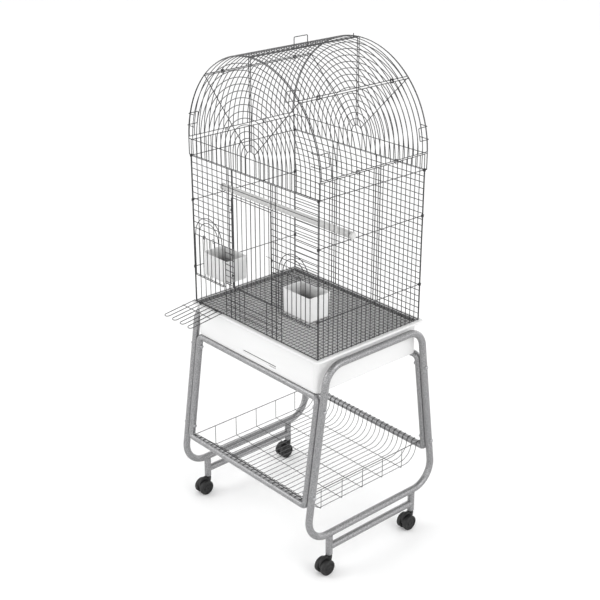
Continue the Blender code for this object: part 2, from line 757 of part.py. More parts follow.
# ---------------------------------------------------------------- corner clips
clip_low = FLOOR_Z + 0.566
for end, way in (("front", -1), ("back", 1)):
    for side, sign in (("left", -1), ("right", 1)):
        xa = sign * (DOME_R - 0.034)
        xb = sign * (DOME_R - 0.010)
        ya = way * (CY + GAP)
        yb = way * (CY + GAP + 0.0024)
        spot = (min(xa, xb), max(xa, xb), min(ya, yb), max(ya, yb))
        box("corner_clip_" + end + "_" + side, *spot, clip_low, clip_low + 0.016, STEEL)

# ---------------------------------------------------------------- main door
lap = 0.0045
door_x0 = -DOOR_HALF - lap
door_x1 = DOOR_HALF + lap
door_z0 = DOOR_SILL - lap
door_z1 = door_top + lap
strips = []
for i in range(5):
    strips.append(along_v(door_x0 + half + i * (door_x1 - door_x0 - WIRE) / 4, door_z0, door_z1))
for v in (door_z0 + half, door_z1 - half):
    strips.append(along_u(v, door_x0, door_x1))
door = grille("main_door", strips, facing_y(FEED_LAYER), STEEL)
move_origin(door, (door_x0, FEED_LAYER, FLOOR_Z + door_z0))

# ---------------------------------------------------------------- feeder doors
ARCH_RISE = 0.066


def feeder_door(name, x0, x1):
    strips = []
    for i in range(4):
        strips.append(along_v(x0 + half + i * (x1 - x0 - WIRE) / 3, FEED_Z0 - lap, FEED_Z1 + lap))
    for v in (FEED_Z0 - lap + half, FEED_Z1 + lap - half):
        strips.append(along_u(v, x0, x1))
    gate = grille(name, strips, facing_y(FEED_LAYER), STEEL)
    mid = (x0 + x1) / 2
    wide = (x1 - x0) / 2 - 0.004

    def bow(u, v, w):
        a = math.pi * u
        reach_x = (wide + v) * math.cos(a)
        reach_z = (ARCH_RISE + v) * math.sin(a)
        top = FLOOR_Z + FEED_Z1 + lap - half
        return (mid + reach_x, FEED_LAYER + w * (SHEET / 2 - 0.0001), top + reach_z)

    arch = grille("arch", [(0.0, 1.0, -half, half)], bow, STEEL, cuts_u=[i / 10 for i in range(1, 10)])
    combine(gate, [arch], "UNION")
    move_origin(gate, (mid, FEED_LAYER, FLOOR_Z + FEED_Z0))
    return gate


feeder_door("feeder_door_left", -FEED_X1, -FEED_X0 - 0.004)
feeder_door("feeder_door_right", FEED_X0 - 0.012, FEED_X1 - 0.016)

# ---------------------------------------------------------------- landing flap
FLAP_Z = 0.0045
droop = math.radians(FLAP_DROOP)
flap_step = (FLAP_X1 - FLAP_X0 - WIRE) / 7


def on_flap(u, v, w):
    """v runs out from the hinge."""
    y = FLAP_LAYER - v * math.cos(droop) - w * math.sin(droop) * SHEET / 2
    z = FLOOR_Z + FLAP_Z - v * math.sin(droop) + w * math.cos(droop) * SHEET / 2
    return (u, y, z)


strips = []
for i in range(8):
    strips.append(along_v(FLAP_X0 + half + i * flap_step, 0.0, FLAP_LEN))
for i in range(4):
    a = FLAP_X0 + 2 * i * flap_step
    strips.append((a, a + flap_step + WIRE, FLAP_LEN - WIRE, FLAP_LEN))
strips.append((FLAP_X0, FLAP_X1, 0.0, WIRE))
flap = grille("landing_flap", strips, on_flap, STEEL)
move_origin(flap, (0, FLAP_LAYER, FLOOR_Z + FLAP_Z))

# ---------------------------------------------------------------- feeder cups
cup_y0 = -(CY - SHEET - 0.0010)
cup_y1 = cup_y0 + CUP_D
for tag, x0 in (("left", CUP_OUT - CX), ("right", CX - CUP_OUT - CUP_W)):
    x1 = x0 + CUP_W
    low = FLOOR_Z + CUP_FOOT
    cup = prism("feeder_cup_" + tag, rounded(x0, x1, cup_y0, cup_y1, 0.010), low, low + CUP_H, WHITE)
    ring = rounded(x0 + CUP_WALL, x1 - CUP_WALL, cup_y0 + CUP_WALL, cup_y1 - CUP_WALL, 0.010 - CUP_WALL)
    inside = prism("inside", ring, low + CUP_WALL, low + CUP_H + 0.01, WHITE)
    combine(cup, [inside], "DIFFERENCE")
    move_origin(cup, ((x0 + x1) / 2, (cup_y0 + cup_y1) / 2, low))

# ---------------------------------------------------------------- perch
PERCH_END = SIDE_PLANE - SHEET / 2 - GAP
STUD_R = 0.003
STUD_OUT = CX + 0.007
perch_at = (0, PERCH_Y, FLOOR_Z + PERCH_H)
profile = [
    (-STUD_OUT, STUD_R),
    (-PERCH_END, STUD_R),
    (-PERCH_END, PERCH_R),
    (PERCH_END, PERCH_R),
    (PERCH_END, STUD_R),
    (STUD_OUT, STUD_R),
]
turned("perch", profile, 16, GREY, "X", perch_at)
for tag, sign in (("left", -1), ("right", 1)):
    a = CX + GAP
    profile = [
        (sign * a, 0.0110),
        (sign * (a + 0.0080), 0.0110),
        (sign * (a + 0.0100), 0.0090),
    ]
    cap = turned("perch_nut_" + tag, profile, 12, GREY, "X", perch_at)
    stations = [(sign * (a - 0.01), STUD_R + GAP), (sign * (a + 0.0075), STUD_R + GAP)]
    bore = turned("bore", stations, 12, GREY, "X", perch_at)
    combine(cap, [bore], "DIFFERENCE")

# ---------------------------------------------------------------- standing place
# The whole object is moved along Y so that the origin is under its middle.
bpy.context.view_layer.update()
reach = []
for obj in bpy.context.scene.collection.objects:
    for vert in obj.data.vertices:
        reach.append((obj.matrix_world @ vert.co).y)
middle = (min(reach) + max(reach)) / 2
for obj in bpy.context.scene.collection.objects:
    obj.location.y -= middle
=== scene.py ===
# %% [markdown]
# # A dome-top bird cage on a rolling stand
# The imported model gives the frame: which pieces there are, where they are and how they
# move. This lesson gives each piece its real surface: round wires, bent tube, moulded
# plastic. Every size that the frame knows is asked of the frame, so that the two agree.

# %% Load the frame
import json
import math

import bmesh
import bpy
from mathutils import Matrix, Vector


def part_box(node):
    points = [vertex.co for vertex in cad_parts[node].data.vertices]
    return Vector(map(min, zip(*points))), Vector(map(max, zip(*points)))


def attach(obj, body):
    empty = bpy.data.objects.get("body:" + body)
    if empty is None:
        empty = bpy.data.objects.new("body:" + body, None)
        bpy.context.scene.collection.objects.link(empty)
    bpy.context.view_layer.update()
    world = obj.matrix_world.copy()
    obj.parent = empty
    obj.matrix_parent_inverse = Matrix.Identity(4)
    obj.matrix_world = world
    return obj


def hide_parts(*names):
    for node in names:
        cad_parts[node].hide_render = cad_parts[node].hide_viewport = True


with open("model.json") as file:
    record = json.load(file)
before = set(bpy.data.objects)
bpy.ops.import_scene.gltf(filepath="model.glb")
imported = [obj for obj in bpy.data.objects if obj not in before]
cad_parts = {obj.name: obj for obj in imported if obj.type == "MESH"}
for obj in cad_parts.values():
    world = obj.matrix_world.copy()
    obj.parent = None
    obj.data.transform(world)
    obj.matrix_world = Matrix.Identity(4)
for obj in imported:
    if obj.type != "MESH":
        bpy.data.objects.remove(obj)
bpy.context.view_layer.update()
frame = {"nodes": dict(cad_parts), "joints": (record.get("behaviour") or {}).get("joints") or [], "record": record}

scene = bpy.context.scene
frame_body = {
    node: body for body, nodes in frame["record"]["behaviour"]["bodies"].items() for node in nodes
}
frame_slot = {node: obj.data.materials[0].name for node, obj in frame["nodes"].items()}
print("slots:", sorted(set(frame_slot.values())))

# %% [markdown]
# The cage's own levels come first. A wire panel is a thin sheet of wires, so the middle
# of its box is the plane that its wires lie in. The front wall stands on the bottom
# wires, the side walls end just under the dome's centre line, and the ridge lies along
# the top of the dome.

# %% Read the main levels and planes
FRONT, BACK, LEFT, RIGHT = -1, 1, -1, 1
BOTH_SIDES = ((LEFT, "left"), (RIGHT, "right"))


def middle(node):
    low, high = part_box(node)
    return (low + high) / 2


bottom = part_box("front_wall")[0].z
wall_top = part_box("front_wall")[1].z
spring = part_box("side_wall_left")[1].z + 0.002
front_y = middle("front_wall").y
back_y = middle("back_wall").y
mid_y = (front_y + back_y) / 2
side_x = middle("side_wall_right").x
corner_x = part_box("front_wall")[1].x
side_reach = (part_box("side_wall_right")[1].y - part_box("side_wall_right")[0].y) / 2
dome_r = middle("crown_ridge").z - spring
print(f"bottom {bottom:.4f}, wall top {wall_top:.4f}, spring line {spring:.4f}, dome radius {dome_r:.4f}")

# %% [markdown]
# Wire gauges. A real cage uses a thick wire round the edge of each panel and a thinner
# one for the bars between. The pitch is the distance from one bar to the next.

# %% Choose the wire gauges
EDGE = 0.00150     # radius of an edge wire
TIE = 0.00125      # radius of a cross wire
BAR = 0.00120      # radius of a bar
FINE = 0.00080     # radius of a clip's wire
PITCH = 0.01866    # from one bar of a wall to the next
print("bars to a wall's height:", round((wall_top - bottom) / PITCH))

# %% [markdown]
# ## Building with nodes
# A cage is hundreds of wires, and each is a short recipe: a line or an arc, swept into
# a round rod, then repeated. Typing the vertices of each would be slow and hard to
# change. Geometry Nodes hold the recipe once, with named inputs for its sizes. The two
# helpers below start a tree and run one on a seed mesh. A modifier's inputs are set by
# each socket's identifier, because its name isn't its key.

# %% Helpers that start a tree and run it
KINDS = {
    "float": "NodeSocketFloat",
    "int": "NodeSocketInt",
    "vector": "NodeSocketVector",
    "material": "NodeSocketMaterial",
}


def new_tree(name, inputs):
    tree = bpy.data.node_groups.new(name, "GeometryNodeTree")
    tree.interface.new_socket("Geometry", in_out="INPUT", socket_type="NodeSocketGeometry")
    for label, kind in inputs:
        tree.interface.new_socket(label, in_out="INPUT", socket_type=KINDS[kind])
    tree.interface.new_socket("Geometry", in_out="OUTPUT", socket_type="NodeSocketGeometry")
    start = tree.nodes.new("NodeGroupInput")
    return tree, start


def add(tree, kind, values=(), **links):
    """Adds a node, sets its plain settings, and links its inputs by name."""
    node = tree.nodes.new(kind)
    for key, value in dict(values).items():
        setattr(node, key, value)
    for key, source in links.items():
        socket = node.inputs[int(key[1:])] if key[0] == "i" and key[1:].isdigit() else node.inputs[key]
        if isinstance(source, bpy.types.NodeSocket):
            tree.links.new(source, socket)
        else:
            socket.default_value = source
    return node


def swept(tree, curve, given):
    """Sweeps a circle of the tree's own gauge along a curve, and caps the ends."""
    circle = add(tree, "GeometryNodeCurvePrimitiveCircle", Resolution=given["Sides"], Radius=given["Radius"])
    links = {"Profile Curve": circle.outputs[0], "Fill Caps": True}
    return add(tree, "GeometryNodeCurveToMesh", Curve=curve, **links).outputs[0]


def close_tree(tree, geometry, material):
    """Every tree ends the same way: real geometry, with its material on it."""
    real = add(tree, "GeometryNodeRealizeInstances", Geometry=geometry)
    smooth = add(tree, "GeometryNodeSetShadeSmooth", Geometry=real.outputs[0])
    painted = add(tree, "GeometryNodeSetMaterial", Geometry=smooth.outputs[0], Material=material)
    end = tree.nodes.new("NodeGroupOutput")
    tree.links.new(painted.outputs[0], end.inputs[0])
    return tree


def grow(tree, seed=None, **inputs):
    """Runs a tree on a seed mesh and gives back the plain mesh that it makes."""
    holder = bpy.data.objects.new("seed", seed or bpy.data.meshes.new("seed"))
    scene.collection.objects.link(holder)
    step = holder.modifiers.new("grow", "NODES")
    step.node_group = tree
    for item in tree.interface.items_tree:
        key = item.name.replace(" ", "_").lower()
        if item.in_out == "INPUT" and key in inputs:
            step[item.identifier] = inputs[key]
    graph = bpy.context.evaluated_depsgraph_get()
    mesh = bpy.data.meshes.new_from_object(holder.evaluated_get(graph))
    bpy.data.objects.remove(holder)
    return mesh


print("socket kinds:", list(KINDS))

# %% [markdown]
# The first tree is the bar row: one straight wire, swept from a line with a circle as
# its profile, and set down again and again at an even step.

# %% Tree: a row of straight bars
def make_bar_row():
    tree, start = new_tree("bar row", [
        ("First", "vector"), ("Run", "vector"), ("Step", "vector"), ("Count", "int"),
        ("Radius", "float"), ("Sides", "int"), ("Material", "material"),
    ])
    given = start.outputs
    reach = add(tree, "ShaderNodeVectorMath", {"operation": "ADD"}, i0=given["First"], i1=given["Run"])
    line = add(tree, "GeometryNodeCurvePrimitiveLine", Start=given["First"], End=reach.outputs[0])
    bar = swept(tree, line.outputs[0], given)
    places = add(tree, "GeometryNodeMeshLine", {"mode": "OFFSET"}, Count=given["Count"], Offset=given["Step"])
    row = add(tree, "GeometryNodeInstanceOnPoints", Points=places.outputs[0], Instance=bar)
    return close_tree(tree, row.outputs[0], given["Material"])


bar_row = make_bar_row()
print("tree:", bar_row.name, "with", len(bar_row.nodes), "nodes")

# %% [markdown]
# The second tree bends wire and tube. Its seed is a mesh of edges, one run of points for
# each wire, and each point carries the radius of its bend as an attribute. The runs
# become curves, their corners are rounded as a bending machine would, and a circle is
# swept along them.

# %% Tree: wire or tube bent along a path
def make_bent_rod():
    tree, start = new_tree("bent rod", [
        ("Radius", "float"), ("Bend Steps", "int"), ("Sides", "int"), ("Material", "material"),
    ])
    given = start.outputs
    path = add(tree, "GeometryNodeMeshToCurve", Mesh=given["Geometry"])
    bent = add(tree, "GeometryNodeFilletCurve", {"mode": "POLY"}, Curve=path.outputs[0])
    tree.links.new(given["Bend Steps"], bent.inputs["Count"])
    corner = add(tree, "GeometryNodeInputNamedAttribute", {"data_type": "FLOAT"}, Name="bend")
    tree.links.new(corner.outputs[0], bent.inputs["Radius"])
    bent.inputs["Limit Radius"].default_value = True
    rod = swept(tree, bent.outputs[0], given)
    return close_tree(tree, rod, given["Material"])


bent_rod = make_bent_rod()
print("tree:", bent_rod.name, "with", len(bent_rod.nodes), "nodes")

# %% [markdown]
# The third tree makes arches. One arc of radius 1 is set down on a row of points. Each
# copy may be scaled more than the last, which gives the rings of the dome's ends, or be
# moved along the cage, which gives its roof. The sweep comes after the scaling, so that
# every wire keeps the same gauge.

# %% Tree: a row of arches
def make_arch_row():
    tree, start = new_tree("arch row", [
        ("Centre", "vector"), ("Step", "vector"), ("Count", "int"), ("Arch Radius", "float"),
        ("Growth", "float"), ("From", "float"), ("Sweep", "float"), ("Segments", "int"),
        ("Radius", "float"), ("Sides", "int"), ("Material", "material"),
    ])
    given = start.outputs
    arc = add(tree, "GeometryNodeCurveArc", Resolution=given["Segments"])
    arc.inputs["Radius"].default_value = 1.0
    tree.links.new(given["From"], arc.inputs["Start Angle"])
    tree.links.new(given["Sweep"], arc.inputs["Sweep Angle"])
    upright = add(tree, "GeometryNodeTransform", Geometry=arc.outputs[0])
    upright.inputs["Rotation"].default_value = (math.pi / 2, 0, 0)
    places = add(tree, "GeometryNodeMeshLine", {"mode": "OFFSET"}, Count=given["Count"], Offset=given["Step"])
    tree.links.new(given["Centre"], places.inputs["Start Location"])
    index = tree.nodes.new("GeometryNodeInputIndex")
    grown = add(
        tree, "ShaderNodeMath", {"operation": "MULTIPLY_ADD"},
        i0=index.outputs[0], i1=given["Growth"], i2=given["Arch Radius"],
    )
    row = add(
        tree, "GeometryNodeInstanceOnPoints",
        Points=places.outputs[0], Instance=upright.outputs[0], Scale=grown.outputs[0],
    )
    curves = add(tree, "GeometryNodeRealizeInstances", Geometry=row.outputs[0])
    rods = swept(tree, curves.outputs[0], given)
    return close_tree(tree, rods, given["Material"])


arch_row = make_arch_row()
print("tree:", arch_row.name, "with", len(arch_row.nodes), "nodes")

# %% [markdown]
# The fourth tree ties panels together. A cage's panels are joined with short turns of
# wire wound round two neighbouring rods. The seed is a cloud of points, and each point
# carries the direction of the rods as an attribute, which turns the coil to suit.

# %% Tree: coils wound round the rods at given points
def make_clip_coils():
    tree, start = new_tree("clip coils", [
        ("Coil Radius", "float"), ("Length", "float"), ("Turns", "float"), ("Radius", "float"),
        ("Sides", "int"), ("Material", "material"),
    ])
    given = start.outputs
    spiral = add(tree, "GeometryNodeCurveSpiral", Resolution=10, Rotations=given["Turns"])
    tree.links.new(given["Coil Radius"], spiral.inputs["Start Radius"])
    tree.links.new(given["Coil Radius"], spiral.inputs["End Radius"])
    tree.links.new(given["Length"], spiral.inputs["Height"])
    half = add(tree, "ShaderNodeMath", {"operation": "MULTIPLY"}, i0=given["Length"], i1=-0.5)
    drop = add(tree, "ShaderNodeCombineXYZ", Z=half.outputs[0])
    centred = add(tree, "GeometryNodeTransform", Geometry=spiral.outputs[0], Translation=drop.outputs[0])
    coil = swept(tree, centred.outputs[0], given)
    along = add(tree, "GeometryNodeInputNamedAttribute", {"data_type": "FLOAT_VECTOR"}, Name="along")
    turned = add(tree, "FunctionNodeAlignRotationToVector", {"axis": "Z"}, Vector=along.outputs[0])
    row = add(
        tree, "GeometryNodeInstanceOnPoints",
        Points=given["Geometry"], Instance=coil, Rotation=turned.outputs[0],
    )
    return close_tree(tree, row.outputs[0], given["Material"])


clip_coils = make_clip_coils()
print("tree:", clip_coils.name, "with", len(clip_coils.nodes), "nodes")

# %% [markdown]
# ## Finishes
# Nothing on a real cage is one flat colour. Powder coat has fine flecks and a slight
# orange peel, mouldings have a faint grain, and dust settles on whatever faces up.
# Several finishes share these effects, so each is a shader node group with named
# sockets. The shader itself stays in each material.

# %% Shader groups: fleck and dust
SHADER_KINDS = {"color": "NodeSocketColor", "float": "NodeSocketFloat", "vector": "NodeSocketVector"}


def new_group(name, inputs, outputs):
    group = bpy.data.node_groups.new(name, "ShaderNodeTree")
    for label, kind in inputs:
        group.interface.new_socket(label, in_out="INPUT", socket_type=SHADER_KINDS[kind])
    for label, kind in outputs:
        group.interface.new_socket(label, in_out="OUTPUT", socket_type=SHADER_KINDS[kind])
    return group, group.nodes.new("NodeGroupInput"), group.nodes.new("NodeGroupOutput")


def make_fleck():
    """Two colours mixed by fine noise, with a roughness and a height that follow it."""
    group, given, out = new_group(
        "fleck",
        [("Place", "vector"), ("Colour", "color"), ("Fleck", "color"), ("Scale", "float"),
         ("Cover", "float"), ("Roughness", "float"), ("Roughness Spread", "float")],
        [("Colour", "color"), ("Roughness", "float"), ("Height", "float")],
    )
    at, scale = given.outputs["Place"], given.outputs["Scale"]
    fine = add(group, "ShaderNodeTexNoise", Vector=at, Scale=scale, Detail=4.0)
    broad_scale = add(group, "ShaderNodeMath", {"operation": "MULTIPLY"}, i0=scale, i1=0.06)
    broad = add(group, "ShaderNodeTexNoise", Vector=at, Scale=broad_scale.outputs[0], Detail=2.0)
    spots = add(group, "ShaderNodeMapRange", Value=fine.outputs[0])
    spots.inputs["From Min"].default_value = 0.42
    spots.inputs["From Max"].default_value = 0.62
    mask = add(group, "ShaderNodeMath", {"operation": "MULTIPLY"}, i0=spots.outputs[0], i1=given.outputs["Cover"])
    mixed = add(group, "ShaderNodeMix", {"data_type": "RGBA"})
    group.links.new(mask.outputs[0], mixed.inputs[0])
    group.links.new(given.outputs["Colour"], mixed.inputs[6])
    group.links.new(given.outputs["Fleck"], mixed.inputs[7])
    swing = add(group, "ShaderNodeMath", {"operation": "SUBTRACT"}, i0=broad.outputs[0], i1=0.5)
    rough = add(
        group, "ShaderNodeMath", {"operation": "MULTIPLY_ADD", "use_clamp": True},
        i0=swing.outputs[0], i1=given.outputs["Roughness Spread"], i2=given.outputs["Roughness"],
    )
    group.links.new(mixed.outputs[2], out.inputs["Colour"])
    group.links.new(rough.outputs[0], out.inputs["Roughness"])
    group.links.new(fine.outputs[0], out.inputs["Height"])
    return group


def make_dust():
    """A second colour that lies where the surface faces up."""
    group, given, out = new_group(
        "settled dust",
        [("Place", "vector"), ("Facing", "vector"), ("Colour", "color"), ("Dust", "color"), ("Amount", "float")],
        [("Colour", "color"), ("Mask", "float")],
    )
    apart = add(group, "ShaderNodeSeparateXYZ", Vector=given.outputs["Facing"])
    up = add(group, "ShaderNodeMapRange", Value=apart.outputs[2])
    up.inputs["From Min"].default_value = 0.25
    cloud = add(group, "ShaderNodeTexNoise", Vector=given.outputs["Place"], Scale=22.0, Detail=5.0)
    patchy = add(group, "ShaderNodeMath", {"operation": "MULTIPLY"}, i0=up.outputs[0], i1=cloud.outputs[0])
    mask = add(
        group, "ShaderNodeMath", {"operation": "MULTIPLY", "use_clamp": True},
        i0=patchy.outputs[0], i1=given.outputs["Amount"],
    )
    mixed = add(group, "ShaderNodeMix", {"data_type": "RGBA"})
    group.links.new(mask.outputs[0], mixed.inputs[0])
    group.links.new(given.outputs["Colour"], mixed.inputs[6])
    group.links.new(given.outputs["Dust"], mixed.inputs[7])
    group.links.new(mixed.outputs[2], out.inputs["Colour"])
    group.links.new(mask.outputs[0], out.inputs["Mask"])
    return group


fleck = make_fleck()
dust = make_dust()
print("shader groups:", fleck.name, "and", dust.name)

# %% [markdown]
# One function builds every finish from those groups: coat colour and fleck, dust on
# top, and the fleck's height as a slight bump. What is the same all over a piece, such
# as its metal value, clear coat or index of refraction, is set on the shader's own
# socket.

# %% Make the finishes
def finish(name, colour, flecked, scale, cover, rough, spread, bump, dust_colour, dusty, **plain):
    mat = bpy.data.materials.new(name)
    mat.use_nodes = True
    tree = mat.node_tree
    shader = tree.nodes["Principled BSDF"]
    spot = tree.nodes.new("ShaderNodeTexCoord")
    facing = tree.nodes.new("ShaderNodeNewGeometry")
    coat = tree.nodes.new("ShaderNodeGroup")
    coat.node_tree = fleck
    top = tree.nodes.new("ShaderNodeGroup")
    top.node_tree = dust
    for node in (coat, top):
        tree.links.new(spot.outputs["Object"], node.inputs["Place"])
    tree.links.new(facing.outputs["Normal"], top.inputs["Facing"])
    coat.inputs["Colour"].default_value = (*colour, 1)
    coat.inputs["Fleck"].default_value = (*flecked, 1)
    coat.inputs["Scale"].default_value = scale
    coat.inputs["Cover"].default_value = cover
    coat.inputs["Roughness"].default_value = rough
    coat.inputs["Roughness Spread"].default_value = spread
    top.inputs["Dust"].default_value = (*dust_colour, 1)
    top.inputs["Amount"].default_value = dusty
    tree.links.new(coat.outputs["Colour"], top.inputs["Colour"])
    tree.links.new(top.outputs["Colour"], shader.inputs["Base Color"])
    tree.links.new(coat.outputs["Roughness"], shader.inputs["Roughness"])
    relief = tree.nodes.new("ShaderNodeBump")
    relief.inputs["Strength"].default_value = bump
    relief.inputs["Distance"].default_value = 0.0004
    tree.links.new(coat.outputs["Height"], relief.inputs["Height"])
    tree.links.new(relief.outputs["Normal"], shader.inputs["Normal"])
    for socket, value in plain.items():
        shader.inputs[socket.replace("_", " ")].default_value = value
    return mat


GREY_DUST = (0.55, 0.54, 0.52)
cage_wire = finish(
    "cage_wire", (0.045, 0.045, 0.047), (0.10, 0.10, 0.104), 900, 0.6, 0.38, 0.2, 0.12, GREY_DUST, 0.06,
    Metallic=0.8, Coat_Weight=0.1, Coat_Roughness=0.25,
)
stand_enamel = finish(
    "stand_enamel", (0.19, 0.19, 0.195), (0.42, 0.42, 0.425), 420, 0.75, 0.34, 0.22, 0.25,
    GREY_DUST, 0.05,
    Metallic=0.75, Coat_Weight=0.25, Coat_Roughness=0.18,
)
white_moulding = finish(
    "white_moulding", (0.70, 0.70, 0.70), (0.66, 0.66, 0.655), 700, 0.35, 0.36, 0.15, 0.08,
    (0.72, 0.71, 0.68), 0.05,
    Coat_Weight=0.1, Coat_Roughness=0.3,
)
black_nylon = finish(
    "black_nylon", (0.003, 0.003, 0.0032), (0.007, 0.007, 0.007), 1100, 0.5, 0.60, 0.2, 0.2,
    (0.12, 0.115, 0.11), 0.02,
)
perch_plastic = finish(
    "perch_plastic", (0.50, 0.50, 0.495), (0.60, 0.60, 0.59), 500, 0.5, 0.45, 0.15, 0.25, GREY_DUST, 0.05,
)
zinc = finish(
    "bolt_zinc", (0.34, 0.34, 0.35), (0.46, 0.46, 0.47), 800, 0.5, 0.30, 0.15, 0.1, GREY_DUST, 0.02,
    Metallic=1.0,
)
print("finishes:", [m.name for m in (cage_wire, stand_enamel, white_moulding, black_nylon, perch_plastic, zinc)])

# %% [markdown]
# ## From meshes to pieces
# A panel is grown in several parts: its bars, its edge wires, its clips. They are put
# together into one plain mesh, which takes the place of the CAD node and rides on that
# node's body. The helpers below also write a run of points as edges, the seed that the
# bent rod tree expects.

# %% Helpers that join parts and place a piece
def runs_mesh(runs, bend, closed=False):
    """Each run of points becomes one chain of edges. bend is one radius, or one a point."""
    points, edges, bends = [], [], []
    for run in runs:
        first = len(points)
        points += [tuple(p) for p in run]
        bends += list(bend) if isinstance(bend, (list, tuple)) else [bend] * len(run)
        edges += [(first + i, first + i + 1) for i in range(len(run) - 1)]
        if closed:
            edges.append((len(points) - 1, first))
    mesh = bpy.data.meshes.new("runs")
    mesh.from_pydata(points, edges, [])
    corner = mesh.attributes.new("bend", "FLOAT", "POINT")
    for item, value in zip(corner.data, bends):
        item.value = value
    return mesh


def points_mesh(points, along):
    """Loose points that each carry the direction of the rods at that place."""
    mesh = bpy.data.meshes.new("points")
    mesh.from_pydata([tuple(p) for p in points], [], [])
    direction = mesh.attributes.new("along", "FLOAT_VECTOR", "POINT")
    for item in direction.data:
        item.vector = along
    return mesh


def bars(first, run, step, count, radius, mat=cage_wire, sides=8):
    return grow(bar_row, first=first, run=run, step=step, count=count, radius=radius, sides=sides, material=mat)


def rods(runs, radius, bend=0.004, mat=cage_wire, sides=8, bend_steps=6, closed=False):
    return grow(
        bent_rod, runs_mesh(runs, bend, closed),
        radius=radius, bend_steps=bend_steps, sides=sides, material=mat,
    )


def coils(points, along, coil_radius=0.0030, length=0.007, turns=2.5, radius=FINE, mat=cage_wire):
    return grow(
        clip_coils, points_mesh(points, along),
        coil_radius=coil_radius, length=length, turns=turns, radius=radius, sides=6, material=mat,
    )


def joined(name, parts):
    """One mesh from several, keeping each part's material."""
    mats = []
    bm = bmesh.new()
    for part in parts:
        before = len(bm.faces)
        bm.from_mesh(part)
        bm.faces.ensure_lookup_table()
        mat = next(m for m in part.materials if m)
        if mat not in mats:
            mats.append(mat)
        for face in bm.faces[before:]:
            face.material_index = mats.index(mat)
    mesh = bpy.data.meshes.new(name)
    for mat in mats:
        mesh.materials.append(mat)
    bm.to_mesh(mesh)
    bm.free()
    return mesh


def place(name, parts, body, nodes, slot, angle=40):
    """A finished piece: its surface stands for the CAD nodes and rides on their body."""
    mesh = joined(name, parts)
    mesh.shade_smooth()
    mesh.set_sharp_from_angle(angle=math.radians(angle))
    piece = bpy.data.objects.new(name, mesh)
    scene.collection.objects.link(piece)
    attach(piece, body)
    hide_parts(*nodes)
    print(f"{name}: {sum(len(p.vertices) - 2 for p in mesh.polygons)} triangles on {body}")
    return piece


def dress(name, parts, node, angle=40):
    """A piece that stands for one node, on that node's own body."""
    return place(name, parts, frame_body[node], [node], frame_slot[node], angle)


def tie_piece(name, parts, count):
    """Coils that hold panels together ride on the cage and stand for no node."""
    mesh = joined(name, parts)
    mesh.shade_smooth()
    piece = bpy.data.objects.new(name, mesh)
    scene.collection.objects.link(piece)
    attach(piece, "cage")
    print(name + ":", count)


# %% [markdown]
# ## The side walls
# Upright bars a little under twenty millimetres apart fill each side of the cage, and a
# few cross wires tie them. The cross wires run along the inside of the bars. At each
# corner a coil of wire ties the side wall to the end wall.

# %% Side walls
TIE_LOW = bottom + 0.1157
TIE_HIGH = bottom + 0.3307
side_levels = (bottom + 0.0018, TIE_LOW, TIE_HIGH, wall_top - 0.0005, spring - 0.0040)
bar_reach = side_reach - 0.0015
bar_step = 2 * bar_reach / 22
for side, tag in BOTH_SIDES:
    x = side * side_x
    high = spring - 0.0025
    parts = [
        bars((x + side * 0.0002, mid_y - bar_reach, bottom), (0, 0, high - bottom), (0, bar_step, 0), 23, BAR),
    ]
    for level in side_levels:
        run = (0, 2 * side_reach, 0)
        parts.append(bars((x - side * 0.0012, mid_y - side_reach, level), run, (0, 0, 1), 1, TIE))
    dress("side_wall_wires_" + tag, parts, "side_wall_" + tag)

# %% [markdown]
# ## The end walls
# Front and back are laid the other way: their close bars are level, and only a few
# uprights hold them, at the corners and in pairs beside the middle. The front is cut
# up by its openings, so each band of bars is a row of its own, from one upright to
# another.

# %% Front wall
post_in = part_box("main_door")[1].x - 0.0030
POST_GAP = 0.0190  # between the two uprights of a pair
post_out = post_in + POST_GAP
feed_in = 0.1265
feed_out = corner_x - 0.0015
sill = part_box("main_door")[0].z + 0.0030
feed_low = bottom + 0.0942
feed_high = bottom + 0.2232
foot_line = bottom + 0.0015


def level_row(y, x0, x1, k0, k1, radius=BAR):
    """Level bars number k0 to k1 of a wall, from x0 to x1."""
    first = (x0, y, foot_line + k0 * PITCH)
    return bars(first, (x1 - x0, 0, 0), (0, 0, PITCH), k1 - k0 + 1, radius)


def upright(y, x, z0, z1, radius):
    return bars((x, y, z0), (0, 0, z1 - z0), (0, 0, 1), 1, radius)


def level(y, z, x0, x1, radius):
    return bars((x0, y, z), (x1 - x0, 0, 0), (0, 0, 1), 1, radius)


bar_y = front_y + 0.0004
post_y = front_y - 0.0003
parts = [
    level_row(bar_y, -feed_in, feed_in, 1, 4),
    level_row(bar_y, -feed_in, -post_in, 6, 11),
    level_row(bar_y, post_in, feed_in, 6, 11),
    level_row(bar_y, -feed_out, -post_in, 13, 20),
    level_row(bar_y, post_in, feed_out, 13, 20),
    level_row(bar_y, -feed_out, feed_out, 21, 25),
    level(bar_y, foot_line, -feed_out, feed_out, EDGE),
    level(bar_y, wall_top - 0.0015, -feed_out, feed_out, FINE),
    level(bar_y, sill, -feed_in, feed_in, TIE),
]
for side in (LEFT, RIGHT):
    span = sorted((side * post_in, side * feed_out))
    inner = sorted((side * feed_in, side * feed_out))
    parts.append(level(bar_y, feed_high, *span, TIE))
    parts.append(level(bar_y, feed_low, *inner, TIE))
    parts.append(upright(post_y, side * feed_out, bottom, wall_top, BAR))
    parts.append(upright(post_y, side * feed_in, bottom, feed_high, TIE))
    parts.append(upright(post_y, side * post_in, bottom, wall_top, EDGE))
    parts.append(upright(post_y, side * post_out, bottom, wall_top, EDGE))
for x in (-0.063, -0.040, 0.060):
    parts.append(upright(post_y, x, bottom, sill, BAR))
knots = [(side * 0.5 * (post_in + post_out), front_y, bottom + 0.207) for side in (LEFT, RIGHT)]
